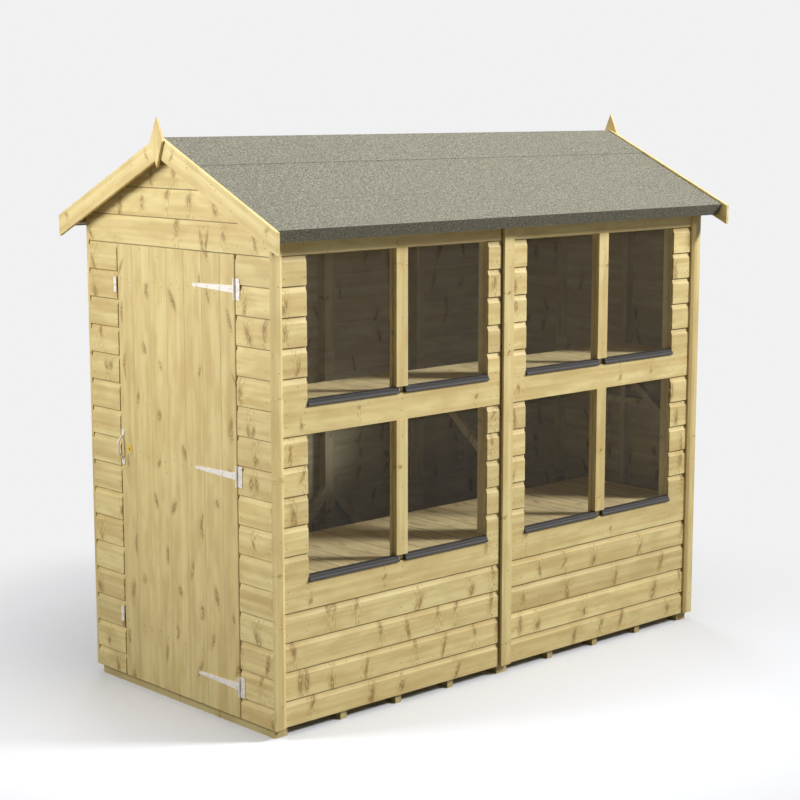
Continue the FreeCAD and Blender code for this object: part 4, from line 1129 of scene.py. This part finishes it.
@dataclass(frozen=True)
class Door(Assembly):
    """Ledged door: boards, ledges, tee hinges, handle, lock and the turn buttons beside it."""

    ledge_levels: tuple[float, ...] = (0.260, 0.962, 1.640)
    ledge_half: float = 0.0475
    hinge_levels: tuple[float, ...] = (0.158, 0.963, 1.656)
    joint: float = 0.051
    board: float = 0.111
    board_nails: tuple[tuple[float, float], ...] = ((0.27, 0.006), (0.73, -0.008))
    edge_margin: float = 0.012
    strap_screws: tuple[float, ...] = (0.026, 0.090, 0.165, 0.232)
    plate_screws: tuple[float, ...] = (-0.028, 0.0, 0.028)
    hinge_metal: float = 0.0025
    plate_inset: float = 0.010
    flange_inset: float = 0.0095
    flange_metal: float = 0.003
    keyhole_inset: float = 0.004
    case_inset: float = 0.008
    keep_inset: float = 0.005

    def nails(self) -> Iterator[Seat]:
        """Two nails through each board into each ledge, one a little above the other.

        Returns:
            The nails' seats, one by one.
        """
        low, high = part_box("door_boards")
        edge = self.joint - self.board * math.floor((self.joint - low.y) / self.board)
        while edge - self.board < high.y:
            for level in self.ledge_levels:
                for share, rise in self.board_nails:
                    y = edge - self.board * share
                    if low.y + self.edge_margin < y < high.y - self.edge_margin:
                        yield Seat((low.x, y, level + rise), DOORWARD)
            edge += self.board

    def hinge_screws(self) -> tuple[list[Seat], list[Seat]]:
        """Screws along each strap, and down each plate.

        Returns:
            The straps' seats and the plates' seats.
        """
        low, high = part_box("hinge_pins")
        line = (low.y + high.y) / 2
        strap_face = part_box("door_boards")[0].x - self.hinge_metal
        plate_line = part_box("hinge_plates")[0].y + self.plate_inset
        plate_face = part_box("door_gable_cladding")[0].x - self.hinge_metal
        straps, plates = [], []
        for level in self.hinge_levels:
            straps += [Seat((strap_face, line + reach, level), DOORWARD) for reach in self.strap_screws]
            plates += [Seat((plate_face, plate_line, level + rise), DOORWARD) for rise in self.plate_screws]
        return straps, plates

    def furniture_screws(self) -> Iterator[Seat]:
        """Screws of the handle's flanges, the keyhole plate and the lock case.

        Returns:
            The seats.
        """
        low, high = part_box("pull_handle")
        middle = (low.y + high.y) / 2
        for level in ends(low.z, high.z, self.flange_inset):
            yield Seat((high.x - self.flange_metal, middle, level), DOORWARD)
        low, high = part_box("keyhole_plate")
        for level in ends(low.z, high.z, self.keyhole_inset):
            yield Seat((low.x, (low.y + high.y) / 2, level), DOORWARD)
        low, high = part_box("lock_case")
        for y in ends(low.y, high.y, self.case_inset):
            for level in ends(low.z, high.z, self.case_inset):
                yield Seat((high.x, y, level), X_AXIS)

    def keep_screws(self) -> list[Seat]:
        """Screws of the keep, above and below the bolt's slot.

        Returns:
            The seats.
        """
        low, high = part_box("lock_keep")
        middle = (low.x + high.x) / 2
        levels = ends(low.z, high.z, self.keep_inset)
        return [Seat((middle, low.y, level), FRONTWARD) for level in levels]

    def build(self, steel: bpy.types.Material, zinc: bpy.types.Material) -> None:
        """Dress the door and its furniture, and set their nails and screws.

        Args:
            steel: the nails' finish.
            zinc: the hinges' and screws' finish.
        """
        boards = Pine(
            "door_pine", Grain.UPRIGHT_ON_GABLE, BRANCHES_ON_DOOR,
            courses=(Courses(self.joint, 4.0, 1.0),), tone=0.07, joint_line=DOOR_GROOVE_LIGHT, figure=0.55)
        bands = tuple((level - self.ledge_half, level + self.ledge_half) for level in self.ledge_levels)
        ledges = Pine(
            "ledge_pine", Grain.DOOR_BRACES, pitch=0.25, courses=(Courses(0.325),),
            level_bands=bands, level_grain=Grain.LEVEL_ON_GABLE)
        self.paint(boards.material(), "door_boards")
        self.paint(ledges.material(), "door_ledges")
        self.paint(zinc, "hinge_straps", "hinge_plates", "hinge_pins", "pull_handle", "upper_turn_button",
                   "lower_turn_button", "turn_button_screws", "lock_bolt", "lock_keep")
        self.paint(BRASS.material(), "keyhole_plate")
        self.paint(LOCK_LACQUER.material(), "lock_case")
        straps, plates = self.hinge_screws()
        self.add(NAIL.set(self.nails()), "door_nails", steel, "door")
        self.add(STRAP_SCREW.set(straps), "strap_screws", zinc, "door")
        self.add(STRAP_SCREW.set(plates), "plate_screws", zinc, "shed")
        self.add(SMALL_SCREW.set(self.furniture_screws()), "door_furniture_screws", zinc, "door")
        self.add(SMALL_SCREW.set(self.keep_screws()), "keep_screws", zinc, "shed")


@dataclass(frozen=True)
class Softbox:
    """Square studio light that looks at a point."""

    name: str
    place: Triple
    target: Triple
    size: float
    power: float

    def hang(self) -> None:
        """Add the light to the scene."""
        data = bpy.data.lights.new(self.name, "AREA")
        data.size = self.size
        data.energy = self.power
        lamp = stand(self.name, data)
        lamp.location = self.place
        lamp.rotation_euler = (Vector(self.target) - Vector(self.place)).to_track_quat("-Z", "Y").to_euler()
        LOG.info("%s hung", self.name)


@dataclass(frozen=True)
class Studio:
    """Pale floor that runs out into a pale surround, soft lights and the camera."""

    eye: Triple = (-5.337, -5.711, 2.326)
    tilt: float = 80.895
    heading: float = -42.785
    lens: float = 83.66
    sensor: float = 36.0
    floor_radius: float = 60.0
    fade: tuple[float, float] = (1.2, 2.7)
    pale: tuple[Colour, Colour] = (shade(239, 241, 246), shade(233, 235, 240))
    surround: Colour = shade(241, 241, 242)
    spill: Colour = shade(128, 128, 128)
    ambient: float = 0.05
    lights: tuple[Softbox, ...] = (
        Softbox("left_softbox", (-3.9, 1.0, 2.5), (-3.0, -0.8, 2.05), 1.4, 114.0),
        Softbox("front_softbox", (6.5, -6.6, 6.9), (0.0, -5.9, 8.9), 2.8, 2660.0),
        Softbox("back_softbox", (3.5, 6.5, 4.5), (0.3, 0.6, 1.2), 3.0, 120.0),
        Softbox("overhead_softbox", (0.0, -0.3, 7.5), (0.0, -0.3, 0.0), 4.0, 230.0),
    )

    @staticmethod
    def seen(graph: Graph) -> Field:
        """Tell the rays that show a surface from those that only carry its light.

        Args:
            graph: the tree that asks.

        Returns:
            One for rays from the eye, off a reflection or through clear glass, otherwise nought.
        """
        rays = graph.node("ShaderNodeLightPath").outputs
        kinds = ("Is Camera Ray", "Is Glossy Ray", "Is Transmission Ray")
        eye, mirror, clear = (Field(graph, rays[kind]) for kind in kinds)
        return eye.larger(mirror).larger(clear)

    def lay_floor(self) -> None:
        """Lay a round floor whose far part takes the surround's colour where it is seen."""
        mesh = bmesh.new()
        bmesh.ops.create_circle(mesh, cap_ends=True, segments=96, radius=self.floor_radius)
        data = bpy.data.meshes.new("studio_floor")
        mesh.to_mesh(data)
        mesh.free()
        floor = stand("studio_floor", data)
        graph = Graph.of_material("pale_floor")
        x = graph.along(X_AXIS)
        y = graph.along(Y_AXIS)
        seen = self.seen(graph)
        far = ((x * x + y * y) ** 0.5).ease(*self.fade) * seen
        mottle = graph.noise(graph.position(), 30.0, 2.0)
        pale = graph.mix(mottle * 0.1, *self.pale)
        cover = graph.mix(seen, self.spill, pale)
        near = graph.node("ShaderNodeBsdfPrincipled", None, {"Base Color": cover, "Roughness": 0.9})
        glow = graph.node("ShaderNodeEmission", None, {"Color": self.surround, "Strength": 1.0})
        inputs = {0: far, 1: near.outputs[0], 2: glow.outputs[0]}
        shader = graph.node("ShaderNodeMixShader", None, inputs)
        graph.node("ShaderNodeOutputMaterial", None, {"Surface": shader.outputs[0]})
        data.materials.append(graph.owner)

    def light(self) -> None:
        """Light the scene, and show the surround's colour to the eye, to metal and to glass."""
        world = bpy.data.worlds.new("pale_surround")
        bpy.context.scene.world = world
        graph = Graph(world)
        glow = graph.node("ShaderNodeBackground", None, {"Color": WHITE, "Strength": self.ambient})
        show = graph.node("ShaderNodeBackground", None, {"Color": self.surround, "Strength": 1.0})
        inputs = {0: self.seen(graph), 1: glow.outputs[0], 2: show.outputs[0]}
        mixed = graph.node("ShaderNodeMixShader", None, inputs)
        graph.node("ShaderNodeOutputWorld", None, {"Surface": mixed.outputs[0]})
        for softbox in self.lights:
            softbox.hang()

    def set_camera(self) -> None:
        """Stand the camera where the photograph was taken from."""
        data = bpy.data.cameras.new("studio_camera")
        data.sensor_width = self.sensor
        data.lens = self.lens
        data.clip_end = 4 * self.floor_radius
        camera = stand("studio_camera", data)
        camera.location = self.eye
        camera.rotation_euler = (math.radians(self.tilt), 0.0, math.radians(self.heading))
        bpy.context.scene.camera = camera
        bpy.context.scene.view_settings.view_transform = "Standard"

    def build(self) -> None:
        """Set up floor, lights and camera."""
        self.lay_floor()
        self.light()
        self.set_camera()


def main() -> None:
    """Dress the shed part by part and set up the studio."""
    logging.basicConfig(level=logging.INFO, format="%(name)s: %(message)s")
    steel = NAIL_STEEL.material()
    zinc = ZINC.material()
    Carcass().build()
    for wall in CLAD_WALLS:
        wall.build(steel)
    Windows().build(steel)
    Trim().build(steel)
    Staging().build()
    Door().build(steel, zinc)
    Studio().build()


if __name__ == "__main__":
    main()
